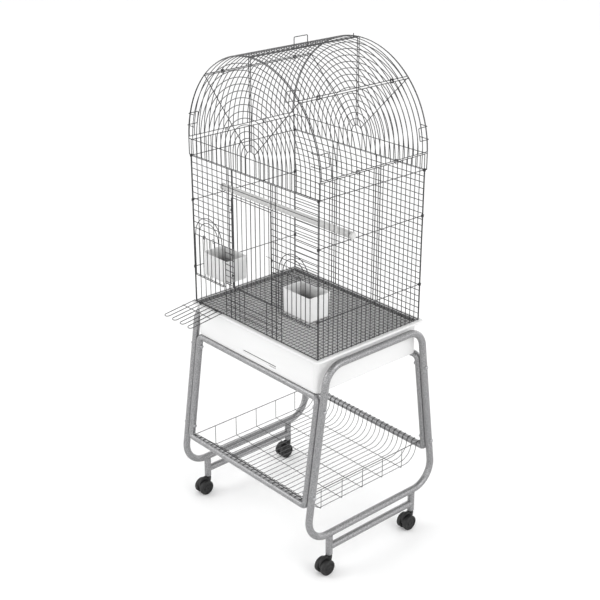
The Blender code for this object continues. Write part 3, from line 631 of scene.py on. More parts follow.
parts.append(coils(knots, (0, 0, 1), 0.0024, 0.006))
dress("front_wall_wires", parts, "front_wall")

# %% Back wall
parts = [
    level_row(back_y - 0.0004, -feed_out, feed_out, 1, 24),
    level(back_y - 0.0004, foot_line, -feed_out, feed_out, EDGE),
    level(back_y - 0.0004, wall_top - 0.0015, -feed_out, feed_out, FINE),
]
for side in (LEFT, RIGHT):
    for x, gauge in ((feed_out, BAR), (post_in, EDGE), (post_out, EDGE)):
        parts.append(upright(back_y + 0.0003, side * x, bottom, wall_top, gauge))
dress("back_wall_wires", parts, "back_wall")

# %% [markdown]
# ## The dome's ends
# Each end of the dome is a fan: rings about one centre, each a half circle with two
# straight legs down to the wall below, and three spokes that hold the rings. The arch
# row tree makes all the rings at once, because each is the last one grown by a pitch.

# %% Dome ends
RING_COUNT = 15
HUB = 0.0220
ring_step = (dome_r - 0.0015 - HUB) / (RING_COUNT - 1)
leg_foot = wall_top + 0.0015
for tag, y, outward in (("front", front_y, -1), ("back", back_y, 1)):
    outer = HUB + (RING_COUNT - 1) * ring_step
    ring_y = y + outward * 0.0003
    spoke_y = y - outward * 0.0012
    parts = []
    for count, smallest, gauge in ((RING_COUNT - 1, HUB, BAR), (1, outer, EDGE)):
        parts.append(grow(
            arch_row, centre=(0, ring_y, spring), step=(0, 0, 0), count=count, arch_radius=smallest,
            growth=ring_step, sweep=math.pi, segments=64, radius=gauge, sides=8, material=cage_wire,
            **{"from": 0.0},
        ))
        for side in (LEFT, RIGHT):
            parts.append(bars(
                (side * smallest, ring_y, leg_foot), (0, 0, spring - leg_foot), (side * ring_step, 0, 0),
                count, gauge,
            ))
    parts.append(level(spoke_y, leg_foot, -outer, outer, BAR))
    parts.append(level(spoke_y, spring - 0.0010, -outer, outer, BAR))
    for degrees in (45, 135):
        a = math.radians(degrees)
        ray = Vector((math.cos(a), 0, math.sin(a)))
        start = Vector((0, spoke_y, spring))
        parts.append(bars(start + ray * HUB, ray * (outer - HUB), (0, 0, 1), 1, TIE))
    parts.append(bars((-0.0035, spoke_y, spring + HUB), (0, 0, outer - HUB), (0.0070, 0, 0), 2, BAR))
    dress("dome_end_wires_" + tag, parts, "dome_end_" + tag)

# %% [markdown]
# ## The dome's sides and the two lids
# The roof's bars are arcs that run across the cage, a pitch apart along it. Below the
# haunch, where the dome leans at 45 degrees, they belong to the fixed sides. Above it
# they belong to the lids, which swing up on coils wound round the two rods at the
# haunch.

# %% Roof
hinge = {}
for joint in frame["joints"]:
    if "pos_m" in joint:
        hinge[joint["name"]] = Vector(joint["pos_m"])
HAUNCH = math.atan2(hinge["roof_lid_right_hinge"].z - spring, hinge["roof_lid_right_hinge"].x)
haunch_gap = 0.0036 / dome_r
spring_gap = 0.0048 / dome_r
crown_gap = 0.0046 / dome_r


def roof_bars(side, low, high, count, reach):
    """Arcs across the cage between two angles up from the spring line."""
    begin = low if side == RIGHT else math.pi - high
    return grow(
        arch_row, centre=(0, mid_y - reach, spring), step=(0, 2 * reach / (count - 1), 0), count=count,
        arch_radius=dome_r, growth=0.0, sweep=high - low, segments=20, radius=BAR, sides=8,
        material=cage_wire, **{"from": begin},
    )


def roof_rail(side, angle, gauge, lift=0.0):
    x = side * (dome_r + lift) * math.cos(angle)
    z = spring + (dome_r + lift) * math.sin(angle)
    return bars((x, mid_y - side_reach, z), (0, 2 * side_reach, 0), (0, 0, 1), 1, gauge)


for side, tag in BOTH_SIDES:
    low, high = spring_gap, HAUNCH - haunch_gap
    parts = [
        roof_bars(side, low, high, 23, bar_reach),
        roof_rail(side, low, TIE, -0.0004),
        roof_rail(side, high, TIE, -0.0004),
    ]
    dress("dome_side_wires_" + tag, parts, "dome_side_" + tag)
    low, high = HAUNCH + haunch_gap, math.pi / 2 - crown_gap
    parts = [
        roof_bars(side, low, high, 23, bar_reach),
        roof_rail(side, low, TIE, -0.0004),
        roof_rail(side, high, TIE, -0.0004),
    ]
    dress("roof_lid_wires_" + tag, parts, "roof_lid_" + tag)

# %% Crown ridge and carrying handle
crown_z = middle("crown_ridge").z
ridge = [bars((0, mid_y - side_reach, crown_z), (0, 2 * side_reach, 0), (0, 0, 1), 1, EDGE)]
stub_y = mid_y + 0.184
ridge.append(bars((0, stub_y, crown_z + 0.0010), (0, 0, 0.0105), (0, 0, 1), 1, TIE))
dress("crown_ridge_rod", ridge, "crown_ridge")

grip_low, grip_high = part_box("carry_handle")
grip = [
    (0, grip_low.y + 0.0015, grip_low.z + 0.0002),
    (0, grip_low.y + 0.0015, grip_high.z - 0.0015),
    (0, grip_high.y - 0.0015, grip_high.z - 0.0015),
    (0, grip_high.y - 0.0015, grip_low.z + 0.0002),
]
dress("carry_handle_wire", [rods([grip], TIE, bend=0.0035)], "carry_handle")

# %% [markdown]
# ## Clips, doors and the landing flap
# A hook of wire clips round each corner of the dome, from its end to its side. The
# roof's rods are tied in pairs. At the spring line a coil goes round the side wall's top
# rod and the dome's lowest one. At the haunch it goes round the hinge line, midway
# between two bars, so that the lid's bars pass it as they swing.

# %% Corner hooks
for end, y_way in (("front", -1), ("back", 1)):
    for side, tag in BOTH_SIDES:
        node = "corner_clip_" + end + "_" + tag
        low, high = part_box(node)
        y = (low.y + high.y) / 2 + y_way * 0.0002
        inner = low.x if side == RIGHT else high.x
        hook = []
        for z in (low.z - 0.0060, high.z + 0.0140):
            skin_x = side * (math.sqrt(dome_r ** 2 - (z - spring) ** 2) + 0.0026)
            arm = [(inner, y, z), (skin_x, y, z), (skin_x, y - y_way * 0.036, z)]
            hook += arm if not hook else arm[::-1]
        dress("corner_hook_" + end + "_" + tag, [rods([hook], BAR, 0.0030)], node)

# %% Coils at the spring line and the haunch
spots, turns_on = [], []
for side in (LEFT, RIGHT):
    for k in (7.5, 15.5):
        x = side * (side_x + dome_r) / 2
        spots.append((x, mid_y - bar_reach + k * bar_step, spring))
spring_coils = coils(spots, (0, 1, 0), 0.0068, 0.006, 1.6, 0.0009)
for side, name in ((LEFT, "roof_lid_left_hinge"), (RIGHT, "roof_lid_right_hinge")):
    pin = hinge[name]
    for k in (3.5, 18.5):
        turns_on.append((pin.x, mid_y - bar_reach + k * bar_step, pin.z))
haunch_coils = coils(turns_on, (0, 1, 0), 0.0060, 0.006, 2.6, 0.0008)
tie_piece("roof_tie_coils", [spring_coils, haunch_coils], len(spots) + len(turns_on))

# %% [markdown]
# Small coils also tie the four corners of the square walls where the cross wires meet
# them. They are the dark dots one sees down each corner of a wire cage.

# %% Corner ties
spots = []
for side in (LEFT, RIGHT):
    for y, way in ((front_y, 1), (back_y, -1)):
        for z in side_levels[1:4]:
            spots.append((side * (corner_x - 0.0016), y + way * 0.0012, z))
tie_piece("corner_tie_coils", [coils(spots, (0, 0, 1), 0.0036, 0.0075, 3.1, 0.0011)], len(spots))

# %% [markdown]
# The main door hangs on its own left upright, so that upright stands exactly on the
# joint's axis and turns in place inside two coils. Its bars are upright and light, so
# the doorway stays easy to see through.

# %% Main door
door_low, door_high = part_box("main_door")
door_y = (door_low.y + door_high.y) / 2
pin = hinge["main_door_hinge"]
left, right = pin.x, door_high.x - TIE
DOOR_BARS = 7
DOOR_PITCH = 0.0200
first_bar = left + 0.0254
rim = [
    (left, door_y, door_low.z + TIE), (right, door_y, door_low.z + TIE),
    (right, door_y, door_high.z - TIE), (left, door_y, door_high.z - TIE),
]
parts = [
    rods([rim], TIE, 0.004, closed=True),
    bars(
        (first_bar, door_y, door_low.z + TIE), (0, 0, door_high.z - door_low.z - 2 * TIE),
        (DOOR_PITCH, 0, 0), DOOR_BARS, FINE,
    ),
]
latch_z = (door_low.z + door_high.z) / 2
latch = [
    (right - 0.019, door_y - 0.0016, latch_z + 0.0050), (right + 0.0075, door_y - 0.0016, latch_z + 0.0050),
    (right + 0.0075, door_y - 0.0016, latch_z - 0.0060), (right + 0.0020, door_y - 0.0016, latch_z - 0.0060),
]
parts.append(rods([latch], FINE, 0.0025))
dress("main_door_wires", parts, "main_door")

# %% [markdown]
# A feeder door is a short gate of upright bars with an arch above it, a finger's grip
# for sliding it up. The arch is two half ellipses, each a run of points from a rule, so
# its bends need no rounding.

# %% Feeder doors


def half_ellipse(x, y, z, a, b, steps=28):
    points = []
    for i in range(steps + 1):
        t = math.pi * i / steps
        points.append((x + a * math.cos(t), y, z + b * math.sin(t)))
    return points


def curl(x, y, z, r, way, steps=14):
    """A wire's end rolled into an eye."""
    points = []
    for i in range(steps + 1):
        t = 1.7 * math.pi * i / steps
        points.append((x + way * r * (1 - math.cos(t)), y, z + r * math.sin(t)))
    return points


GATE_BARS = 6
for tag in ("left", "right"):
    low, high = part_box("feeder_door_" + tag)
    y = (low.y + high.y) / 2
    gate_top = feed_high + 0.0025
    x0, x1 = low.x + 0.0015, high.x - 0.0015
    rim = [(x0, y, low.z + TIE), (x1, y, low.z + TIE), (x1, y, gate_top), (x0, y, gate_top)]
    mid_x = (x0 + x1) / 2
    rise = high.z - gate_top - 0.0015
    wide = (x1 - x0) / 2 - 0.0030
    gap = (x1 - x0) / (GATE_BARS + 1)
    parts = [
        rods([rim], TIE, 0.003, closed=True),
        bars((x0 + gap, y, low.z + TIE), (0, 0, gate_top - low.z - TIE), (gap, 0, 0), GATE_BARS, BAR),
        rods([half_ellipse(mid_x, y, gate_top, wide, rise)], TIE, 0.0001, bend_steps=1),
        rods([half_ellipse(mid_x, y, gate_top, wide - 0.017, rise - 0.015)], BAR, 0.0001, bend_steps=1),
        rods([curl(mid_x - 0.016, y, gate_top, 0.0055, -1), curl(mid_x + 0.016, y, gate_top, 0.0055, 1)],
             BAR, 0.0001, bend_steps=1),
    ]
    dress("feeder_door_wires_" + tag, parts, "feeder_door_" + tag)

# %% [markdown]
# The landing flap lies open on the left, a little below level: four long hairpins of
# wire on a hinge rod, tied by one cross wire near the cage. Each hairpin is a run of
# four points whose two outer corners have a bend of half its width, which makes a round
# end.

# %% Landing flap
pin = hinge["landing_flap_hinge"]
flap_low, flap_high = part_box("landing_flap")
flap_x0, flap_x1 = flap_low.x + 0.0015, flap_high.x - 0.0015
out = Vector((0, flap_low.y + 0.0006 - pin.y, flap_low.z + 0.0012 - pin.z))
down = Vector((0, out.z, -out.y)).normalized()
step = (flap_x1 - flap_x0) / 7


def on_flap(x, t, lift=0.0):
    spot = pin + out * t - down * lift
    return (x, spot.y, spot.z)


hairpins = []
for i in range(4):
    a = flap_x0 + 2 * i * step
    b = a + step
    hairpins.append([on_flap(a, 0), on_flap(a, 1), on_flap(b, 1), on_flap(b, 0)])
parts = [
    rods(hairpins, BAR * 1.1, 0.0094, bend_steps=10),
    rods([[on_flap(flap_x0 - 0.0005, 0), on_flap(flap_x1 + 0.0005, 0)]], TIE),
    rods([[on_flap(flap_x0 - 0.0015, 0.37, -0.0018), on_flap(flap_x1 + 0.0015, 0.37, -0.0018)]], BAR),
]
dress("landing_flap_wires", parts, "landing_flap")

# %% Eyes that hold the flap and the door to the front wall
door_pin = hinge["main_door_hinge"]
EYE_INSET = 0.040  # from the door's top or foot to its eye
door_eyes = [(door_pin.x, door_pin.y, z) for z in (door_low.z + EYE_INSET, door_high.z - EYE_INSET)]
flap_eyes = [(flap_x0 + (k + 0.5) * step, pin.y, pin.z) for k in (1, 5)]
EYE = (0.0030, 0.006, 2.6, 0.0008)     # coil radius, length, turns, wire radius
eyes = [coils(door_eyes, (0, 0, 1), *EYE), coils(flap_eyes, (1, 0, 0), *EYE)]
tie_piece("hinge_eyes", eyes, len(door_eyes) + len(flap_eyes))

# %% [markdown]
# ## Moulded and turned pieces
# Plastic mouldings and lathe-turned pieces are both rings joined into a skin: a rounded
# rectangle for a moulding, a circle for a turned piece. Each ring is the shape's outline
# at one station, so a rim, a draft or a rounded lip is one more ring. The first and last
# rings are capped, or joined to each other where the piece has a hole through it.

# %% Helpers for skins of rings


def rounded_ring(x0, x1, y0, y1, r, z, steps=6):
    """A rectangle with round corners, at height z."""
    points = []
    for cx, cy, turn in ((x1 - r, y1 - r, 0), (x0 + r, y1 - r, 1), (x0 + r, y0 + r, 2), (x1 - r, y0 + r, 3)):
        for i in range(steps + 1):
            a = (turn + i / steps) * math.pi / 2
            points.append((cx + r * math.cos(a), cy + r * math.sin(a), z))
    return points


def skin(rings, mat, loop=False):
    """A closed mesh through rings that all have the same number of points."""
    bm = bmesh.new()
    rows = [[bm.verts.new(p) for p in ring] for ring in rings]
    pairs = list(zip(rows, rows[1:]))
    if loop:
        pairs.append((rows[-1], rows[0]))
    for a, b in pairs:
        for i in range(len(a)):
            j = (i + 1) % len(a)
            bm.faces.new((a[i], a[j], b[j], b[i]))
    if not loop:
        bm.faces.new(list(reversed(rows[0])))
        bm.faces.new(rows[-1])
    bmesh.ops.recalc_face_normals(bm, faces=bm.faces)
    mesh = bpy.data.meshes.new("skin")
    bm.to_mesh(mesh)
    bm.free()
    mesh.materials.append(mat)
    return mesh


def turned(profile, centre, axis, mat, sides=32, loop=False):
    """A profile of (place along the axis, radius) turned about X or Z through centre."""
    rings = []
    for along, radius in profile:
        ring = []
        for i in range(sides):
            a = 2 * math.pi * i / sides
            u, v = radius * math.cos(a), radius * math.sin(a)
            spot = (along, u, v) if axis == "X" else (u, v, along)
            ring.append(tuple(Vector(centre) + Vector(spot)))
        rings.append(ring)
    return skin(rings, mat, loop)


def block(low, high, mat):
    """A plain box, used to cut with."""
    x0, y0, z0 = low
    x1, y1, z1 = high
    return skin([[(x0, y0, z), (x1, y0, z), (x1, y1, z), (x0, y1, z)] for z in (z0, z1)], mat)


def worked(solid, holes=(), bevel=0.0, angle=50):
    """Cuts the holes out of a solid, softens its edges, and gives back a plain mesh."""
    body = bpy.data.objects.new("solid", solid)
    scene.collection.objects.link(body)
    tools = []
    for hole in holes:
        tool = bpy.data.objects.new("hole", hole)
        scene.collection.objects.link(tool)
        cut = body.modifiers.new("cut", "BOOLEAN")
        cut.operation = "DIFFERENCE"
        cut.solver = "EXACT"
        cut.object = tool
        tools.append(tool)
    if bevel:
        soft = body.modifiers.new("soft", "BEVEL")
        soft.width = bevel
        soft.segments = 2
        soft.limit_method = "ANGLE"
        soft.angle_limit = math.radians(angle)
    graph = bpy.context.evaluated_depsgraph_get()
    mesh = bpy.data.meshes.new_from_object(body.evaluated_get(graph))
    for obj in [body] + tools:
        bpy.data.objects.remove(obj)
    return mesh


print("helpers: rounded_ring, skin, turned, block, worked")

# %% [markdown]
# The base is one white moulding. From outside in, its rings go up the body, out under
# the rim, round the rim's edge, in to the ledge that the floor grate lies on, and down
# the shaft to the floor of the drawer bay. Then the bay's mouth is cut in the front.

# %% Base pan
low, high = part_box("base_pan")
body_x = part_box("litter_drawer")[1].x + 0.0125
body_y0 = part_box("drawer_front")[0].y
body_y1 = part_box("litter_drawer")[1].y + 0.0050
grate_low, grate_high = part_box("floor_grate")
bay_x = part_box("litter_drawer")[1].x + 0.0005
bay_z0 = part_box("litter_drawer")[0].z - 0.0005
bay_z1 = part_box("drawer_front")[1].z + 0.0005
rim_z = high.z - 0.008


def base_ring(inset_x, inset_y, r, z):
    return rounded_ring(low.x + inset_x, high.x - inset_x, low.y + inset_y, high.y - inset_y, r, z)


def body_ring(inset, r, z):
    return rounded_ring(-body_x + inset, body_x - inset, body_y0 + inset, body_y1 - inset, r, z)


rings = [
    body_ring(0.0045, 0.0100, low.z), body_ring(0.0018, 0.0125, low.z + 0.0008),
    body_ring(0.0004, 0.0138, low.z + 0.0022), body_ring(0.0, 0.0140, low.z + 0.0045),
    body_ring(0.0, 0.0140, rim_z - 0.0040), body_ring(-0.0012, 0.0145, rim_z - 0.0014),
    base_ring(0.0100, 0.0080, 0.0060, rim_z), base_ring(0.0018, 0.0018, 0.0085, rim_z + 0.0002),
    base_ring(0.0004, 0.0004, 0.0096, rim_z + 0.0014), base_ring(0.0, 0.0, 0.0100, rim_z + 0.0035),
    base_ring(0.0, 0.0, 0.0100, high.z - 0.0030), base_ring(0.0005, 0.0005, 0.0096, high.z - 0.0012),
    base_ring(0.0020, 0.0020, 0.0085, high.z),
    rounded_ring(grate_low.x - 0.0013, grate_high.x + 0.0013, grate_low.y - 0.0013, grate_high.y + 0.0013,
                 0.0030, high.z),
    rounded_ring(grate_low.x - 0.0005, grate_high.x + 0.0005, grate_low.y - 0.0005, grate_high.y + 0.0005,
                 0.0024, high.z - 0.0010),
    rounded_ring(grate_low.x - 0.0005, grate_high.x + 0.0005, grate_low.y - 0.0005, grate_high.y + 0.0005,
                 0.0024, grate_low.z - 0.0003),
    rounded_ring(-bay_x, bay_x, body_y0 + 0.012, body_y1 - 0.004, 0.0020, grate_low.z - 0.0003),
    rounded_ring(-bay_x, bay_x, body_y0 + 0.012, body_y1 - 0.004, 0.0020, bay_z0),
]
mouth = block((-bay_x, body_y0 - 0.02, bay_z0), (bay_x, body_y0 + 0.02, bay_z1), white_moulding)
shell = worked(skin(rings, white_moulding), [mouth])
dress("base_moulding", [shell], "base_pan", angle=35)

# %% [markdown]
# The drawer is a shallow tray, open towards the front, and a front panel that closes
# it. The panel has a narrow finger slot with a shallow scoop below it, so that a
# fingertip finds the edge, and a black strip behind it is painted shade that keeps the
# slot dark. The tray's front edge is cut away, because the panel stands there.

# %% Drawer tray and drawer front
low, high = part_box("litter_drawer")
wall = 0.0024


def tray_ring(inset, r, z):
    return rounded_ring(low.x + inset, high.x - inset, low.y - 0.02 + inset, high.y - inset, r, z)


rings = [
    tray_ring(0.0030, 0.0060, low.z), tray_ring(0.0006, 0.0080, low.z + 0.0014),
    tray_ring(0.0, 0.0085, low.z + 0.0040), tray_ring(0.0, 0.0085, high.z - 0.0010),
    tray_ring(0.0008, 0.0078, high.z), tray_ring(wall - 0.0006, 0.0070, high.z),
    tray_ring(wall, 0.0065, high.z - 0.0010), tray_ring(wall + 0.0006, 0.0060, low.z + 0.0050),
    tray_ring(wall + 0.0024, 0.0045, low.z + wall),
]
front_cut = block(
    (low.x - 0.01, low.y - 0.03, low.z - 0.01), (high.x + 0.01, low.y, high.z + 0.01), white_moulding
)
tray = worked(skin(rings, white_moulding), [front_cut])
dress("drawer_tray", [tray], "litter_drawer", angle=35)

low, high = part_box("drawer_front")
slot_x0, slot_x1 = -0.053, 0.097
slot_top = low.z + 0.0185
panel = block(tuple(low), tuple(high), white_moulding)
slot = block((slot_x0, low.y - 0.01, slot_top - 0.0036), (slot_x1, high.y + 0.01, slot_top), white_moulding)
notch = block((slot_x1 - 0.030, low.y - 0.01, slot_top - 0.0090), (slot_x1, high.y + 0.01, slot_top - 0.0074),
              white_moulding)
scoop = block((slot_x0, low.y - 0.01, slot_top - 0.0090), (slot_x1, low.y + 0.0009, slot_top - 0.0010),
              white_moulding)
panel = worked(panel, [slot, notch, scoop], bevel=0.0005)
# Painted shade: a black strip behind the slot stands in for the shadow inside the drawer.
slot_shadow_strip = block(
    (slot_x0 - 0.006, high.y + 0.0001, slot_top - 0.0150),
    (slot_x1 + 0.006, high.y + 0.0014, slot_top + 0.0060), black_nylon,
)
dress("drawer_panel", [panel, slot_shadow_strip], "drawer_front", angle=35)

# %% [markdown]
# The floor grate keeps the bird off the litter: a welded mesh of wires both ways,
# closer than the walls. Its edge is turned up all round, which lines the base's well.
# Every row in it is one run of the bar row tree.

# %% Floor grate
low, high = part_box("floor_grate")
z = (low.z + high.z) / 2
GRATE_PITCH = 0.0150
GRATE_WIRE = 0.00078
EDGE_RISE = 0.0085
across = round((high.x - low.x - 0.0024) / GRATE_PITCH)
along = round((high.y - low.y - 0.0024) / GRATE_PITCH)
x0, x1, y0, y1 = low.x + TIE, high.x - TIE, low.y + TIE, high.y - TIE
cell_x, cell_y, turn_up = ((x1 - x0) / across, 0, 0), (0, (y1 - y0) / along, 0), (0, 0, EDGE_RISE)
parts = [
    bars((x0, y0, z + 0.0002), (0, y1 - y0, 0), cell_x, across + 1, GRATE_WIRE, sides=6),
    bars((x0, y0, z - 0.0002), (x1 - x0, 0, 0), cell_y, along + 1, GRATE_WIRE, sides=6),
    rods([[(x0, y0, h), (x1, y0, h), (x1, y1, h), (x0, y1, h)] for h in (z, z + EDGE_RISE / 2, z + EDGE_RISE)],
         TIE, 0.004, closed=True),
]
for y in (y0, y1):
    parts.append(bars((x0, y, z), turn_up, cell_x, across + 1, GRATE_WIRE, sides=6))
for x in (x0, x1):
    parts.append(bars((x, y0, z), turn_up, cell_y, along + 1, GRATE_WIRE, sides=6))
dress("floor_grate_wires", parts, "floor_grate")

# %% [markdown]
# The feeder cups are deep mouldings with a draft and a rolled lip. Their rings go up the
# outside, over the lip, and down inside. Painted shade darkens them inside, more the
# deeper one looks, so each point carries its depth below the lip as an attribute, which
# is 0 outside, and the cups' material darkens with it.

# %% The cups' material, with painted shade inside
cup_white_painted_shade = white_moulding.copy()
cup_white_painted_shade.name = "cup_moulding"
tree = cup_white_painted_shade.node_tree
shader = tree.nodes["Principled BSDF"]
unshaded_colour = shader.inputs["Base Color"].links[0].from_socket
depth_at = tree.nodes.new("ShaderNodeAttribute")
depth_at.attribute_name = "depth"
# Painted shade: the cup's inside turns dark grey as its depth below the lip grows.
depth_shade_ramp = add(tree, "ShaderNodeMapRange", Value=depth_at.outputs["Fac"])
depth_shade_ramp.inputs["From Min"].default_value = 0.026
depth_shade_ramp.inputs["From Max"].default_value = 0.054
painted_shade_mix = add(tree, "ShaderNodeMix", {"data_type": "RGBA"})
tree.links.new(depth_shade_ramp.outputs[0], painted_shade_mix.inputs[0])
tree.links.new(unshaded_colour, painted_shade_mix.inputs[6])
painted_shade_mix.inputs[7].default_value = (0.035, 0.034, 0.032, 1)
tree.links.new(painted_shade_mix.outputs[2], shader.inputs["Base Color"])
print("material:", cup_white_painted_shade.name)

# %% Feeder cups
for tag in ("left", "right"):
    low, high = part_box("feeder_cup_" + tag)
    rows = []
    for inset, r, z in (
        (0.0060, 0.0030, low.z), (0.0040, 0.0040, low.z + 0.0008), (0.0030, 0.0050, low.z + 0.0030),
        (0.0012, 0.0060, high.z - 0.0040), (0.0002, 0.0066, high.z - 0.0032), (0.0, 0.0068, high.z - 0.0018),
        (0.0006, 0.0064, high.z - 0.0004), (0.0016, 0.0058, high.z), (0.0030, 0.0050, high.z - 0.0006),
        (0.0036, 0.0046, high.z - 0.0020), (0.0040, 0.0044, high.z - 0.0160), (0.0044, 0.0042, high.z - 0.0280),
        (0.0048, 0.0040, high.z - 0.0400), (0.0054, 0.0034, low.z + 0.0070), (0.0074, 0.0024, low.z + 0.0030),
    ):
        rows.append(rounded_ring(low.x + inset, high.x - inset, low.y + inset, high.y - inset, r, z))
    cup = dress("feeder_cup_moulding_" + tag, [skin(rows, cup_white_painted_shade)], "feeder_cup_" + tag, angle=35)
    # The depth attribute drives the painted shade inside the cup; it is 0 on the outside.
    inside_from = 9 * len(rows[0])
    depth = cup.data.attributes.new("depth", "FLOAT", "POINT")
    for i, item in enumerate(depth.data):
        item.value = high.z - cup.data.vertices[i].co.z if i >= inside_from else 0.0

# %% [markdown]
# The perch is a round bar with a ribbed surface for grip. A stud at each end passes
# between the wires of the side wall, and a knob screws onto it from outside. The knob's
# ribs are rings whose radius goes in and out round the turn.

# %% Perch and knobs
low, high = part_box("perch")
r = (high.z - low.z) / 2
axis_at = (0, (low.y + high.y) / 2, (low.z + high.z) / 2)
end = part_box("side_wall_right")[0].x - 0.0006
profile = [(-high.x, 0.0026), (-end - 0.0002, 0.0026), (-end, r - 0.0006), (-end + 0.0006, r)]
ribs = 60
for i in range(ribs + 1):
    x = -end + 0.010 + i * (2 * end - 0.020) / ribs
    profile.append((x, r if i % 2 else r - 0.00035))
profile += [(end - 0.0006, r), (end, r - 0.0006), (end + 0.0002, 0.0026), (high.x, 0.0026)]
dress("perch_bar", [turned(profile, axis_at, "X", perch_plastic, 28)], "perch", angle=50)

for side, tag in BOTH_SIDES:
    low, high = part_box("perch_nut_" + tag)
    centre = (low + high) / 2
    r = (high.z - low.z) / 2
    stations = [(-0.0050, 0.80), (-0.0044, 0.95), (-0.0034, 1.0), (0.0030, 1.0), (0.0044, 0.93), (0.0050, 0.74)]
    rows = []
    for along, share in stations:
        row = []
        for i in range(48):
            a = 2 * math.pi * i / 48
            radius = r * share * (1.0 if i % 4 < 2 else 0.93)
            spot = (side * along, radius * math.cos(a), radius * math.sin(a))
            row.append(tuple(c + d for c, d in zip(centre, spot)))
        rows.append(row)
    node = "perch_nut_" + tag
    dress("perch_knob_" + tag, [skin(rows, perch_plastic)], node, angle=35)

# %% [markdown]
# ## The stand
# The stand is bent steel tube with a silver enamel. Each side is one closed loop, wider
# at the foot than at the top, and two more loops join the sides at the front and back.
# The bent rod tree makes them as it makes wire, with a wider circle and a large bend
# radius, which differs between the top and bottom corners.

# %% Side frames and cross frames
TUBE_R = (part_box("caster_rail_left")[1].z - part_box("caster_rail_left")[0].z) / 2 + 0.0004
stand_y = middle("caster_rail_left").y


def tube(points, bends, closed=True, radius=TUBE_R):
    return rods([points], radius, bends, stand_enamel, 28, 16, closed)


for side, tag in BOTH_SIDES:
    low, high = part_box("side_frame_" + tag)
    x = (low.x + high.x) / 2
    top_z, low_z = high.z - TUBE_R, low.z + TUBE_R
    top_y, low_y = 0.192, 0.271
    loop = [
        (x, stand_y - top_y, top_z), (x, stand_y + top_y, top_z),
        (x, stand_y + low_y, low_z), (x, stand_y - low_y, low_z),
    ]
    dress("side_frame_tube_" + tag, [tube(loop, [0.062, 0.062, 0.072, 0.072])], "side_frame_" + tag)

for way, tag in ((FRONT, "front"), (BACK, "back")):
    low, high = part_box("cross_frame_" + tag)
    x = high.x - TUBE_R
    top_z, low_z = high.z - TUBE_R, low.z + TUBE_R
    near, far = sorted((abs(low.y - stand_y), abs(high.y - stand_y)))
    top_y, low_y = stand_y + way * (near + TUBE_R), stand_y + way * (far - TUBE_R)
    loop = [(-x, top_y, top_z), (x, top_y, top_z), (x, low_y, low_z), (-x, low_y, low_z)]
    dress("cross_frame_tube_" + tag, [tube(loop, [0.017, 0.017, 0.013, 0.013])], "cross_frame_" + tag)

# %% Caster rails and posts
for side, tag in BOTH_SIDES:
    low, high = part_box("caster_rail_" + tag)
    x, z = (low.x + high.x) / 2, (low.z + high.z) / 2
    posts = [middle("caster_post_front_" + tag).y, middle("caster_post_back_" + tag).y]
    rail = [(x, posts[0] + 0.003, z), (x, posts[1] - 0.003, z)]
    dress("caster_rail_tube_" + tag, [tube(rail, 0.001, False)], "caster_rail_" + tag)
    for end, y in zip(("front", "back"), posts):
        node = "caster_post_" + end + "_" + tag
        low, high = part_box(node)
        post = [(x, y, low.z), (x, y, high.z + 0.006)]
        dress("caster_post_tube_" + end + "_" + tag, [tube(post, 0.001, False)], node)

# %% [markdown]
# Eight bolts hold the loops together, two to a leg. The head is a bright dome outside,
# and a hexagon nut closes it inside. A turned profile with 6 sides is a hexagon.

# %% Bolts
for side, tag in BOTH_SIDES:
    for end in ("front", "back"):
        for level_name in ("upper", "lower"):
            node = "bolt_" + tag + "_" + end + "_" + level_name
            low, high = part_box(node)
            centre = ((low.x + high.x) / 2, (low.y + high.y) / 2, (low.z + high.z) / 2)
            half = (high.x - low.x) / 2
            r = (high.z - low.z) / 2
            face = side * half
            head = [
                (face - side * 0.0050, r * 0.97), (face - side * 0.0040, r), (face - side * 0.0028, r * 0.93),
                (face - side * 0.0014, r * 0.72), (face - side * 0.0004, r * 0.42), (face, r * 0.12),
            ]
            shank = [(-face + side * 0.0006, 0.0028), (face - side * 0.0048, 0.0028)]
            nut = [
                (-face + side * 0.0008, r * 0.84), (-face + side * 0.0016, r * 0.95),
                (-face + side * 0.0052, r * 0.95),
            ]
            parts = [
                turned(head, centre, "X", zinc, 24),
                turned(shank, centre, "X", zinc, 12),
                turned(nut, centre, "X", zinc, 6),
            ]
            dress(node + "_turned", parts, node, angle=35)

# %% [markdown]
# The shelf basket hangs on the two lower bars. Its long wires hook over the front bar,
# slope down to the floor, cross it, sweep up in a wide curve and hook over the back bar.
# Five cross wires lie under them, and their ends turn up to a rail at each side.

# %% Shelf basket
low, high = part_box("shelf_basket")
bar_front = Vector((0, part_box("cross_frame_front")[0].y + TUBE_R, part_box("cross_frame_front")[0].z + TUBE_R))
bar_back = Vector((0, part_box("cross_frame_back")[1].y - TUBE_R, bar_front.z))
floor_z = low.z + 0.0026
BASKET_WIRE = 0.0010
hug = TUBE_R + BASKET_WIRE + 0.0001
LONG_WIRES = 26
ramp = 0.076       # length of the slope behind the front bar


def around(bar, x, start, end, steps=9):
    """Points round a bar, from one angle to another in degrees."""
    points = []
    for i in range(steps + 1):
        a = math.radians(start + (end - start) * i / steps)
        points.append((x, bar.y + hug * math.cos(a), bar.z + hug * math.sin(a)))
    return points


long_runs, bends = [], []
for i in range(LONG_WIRES):
    x = low.x + 0.0060 + i * (high.x - low.x - 0.0120) / (LONG_WIRES - 1)
    front_hook = around(bar_front, x, 116, 40)
    back_hook = around(bar_back, x, 180, 64)
    run = front_hook + [(x, bar_front.y + ramp, floor_z), (x, bar_back.y - hug, floor_z)] + back_hook
    long_runs.append(run)
    bends += [0.0001] * len(front_hook) + [0.030, 0.050] + [0.0001] * len(back_hook)
parts = [rods(long_runs, BASKET_WIRE, bends, bend_steps=8, sides=6)]

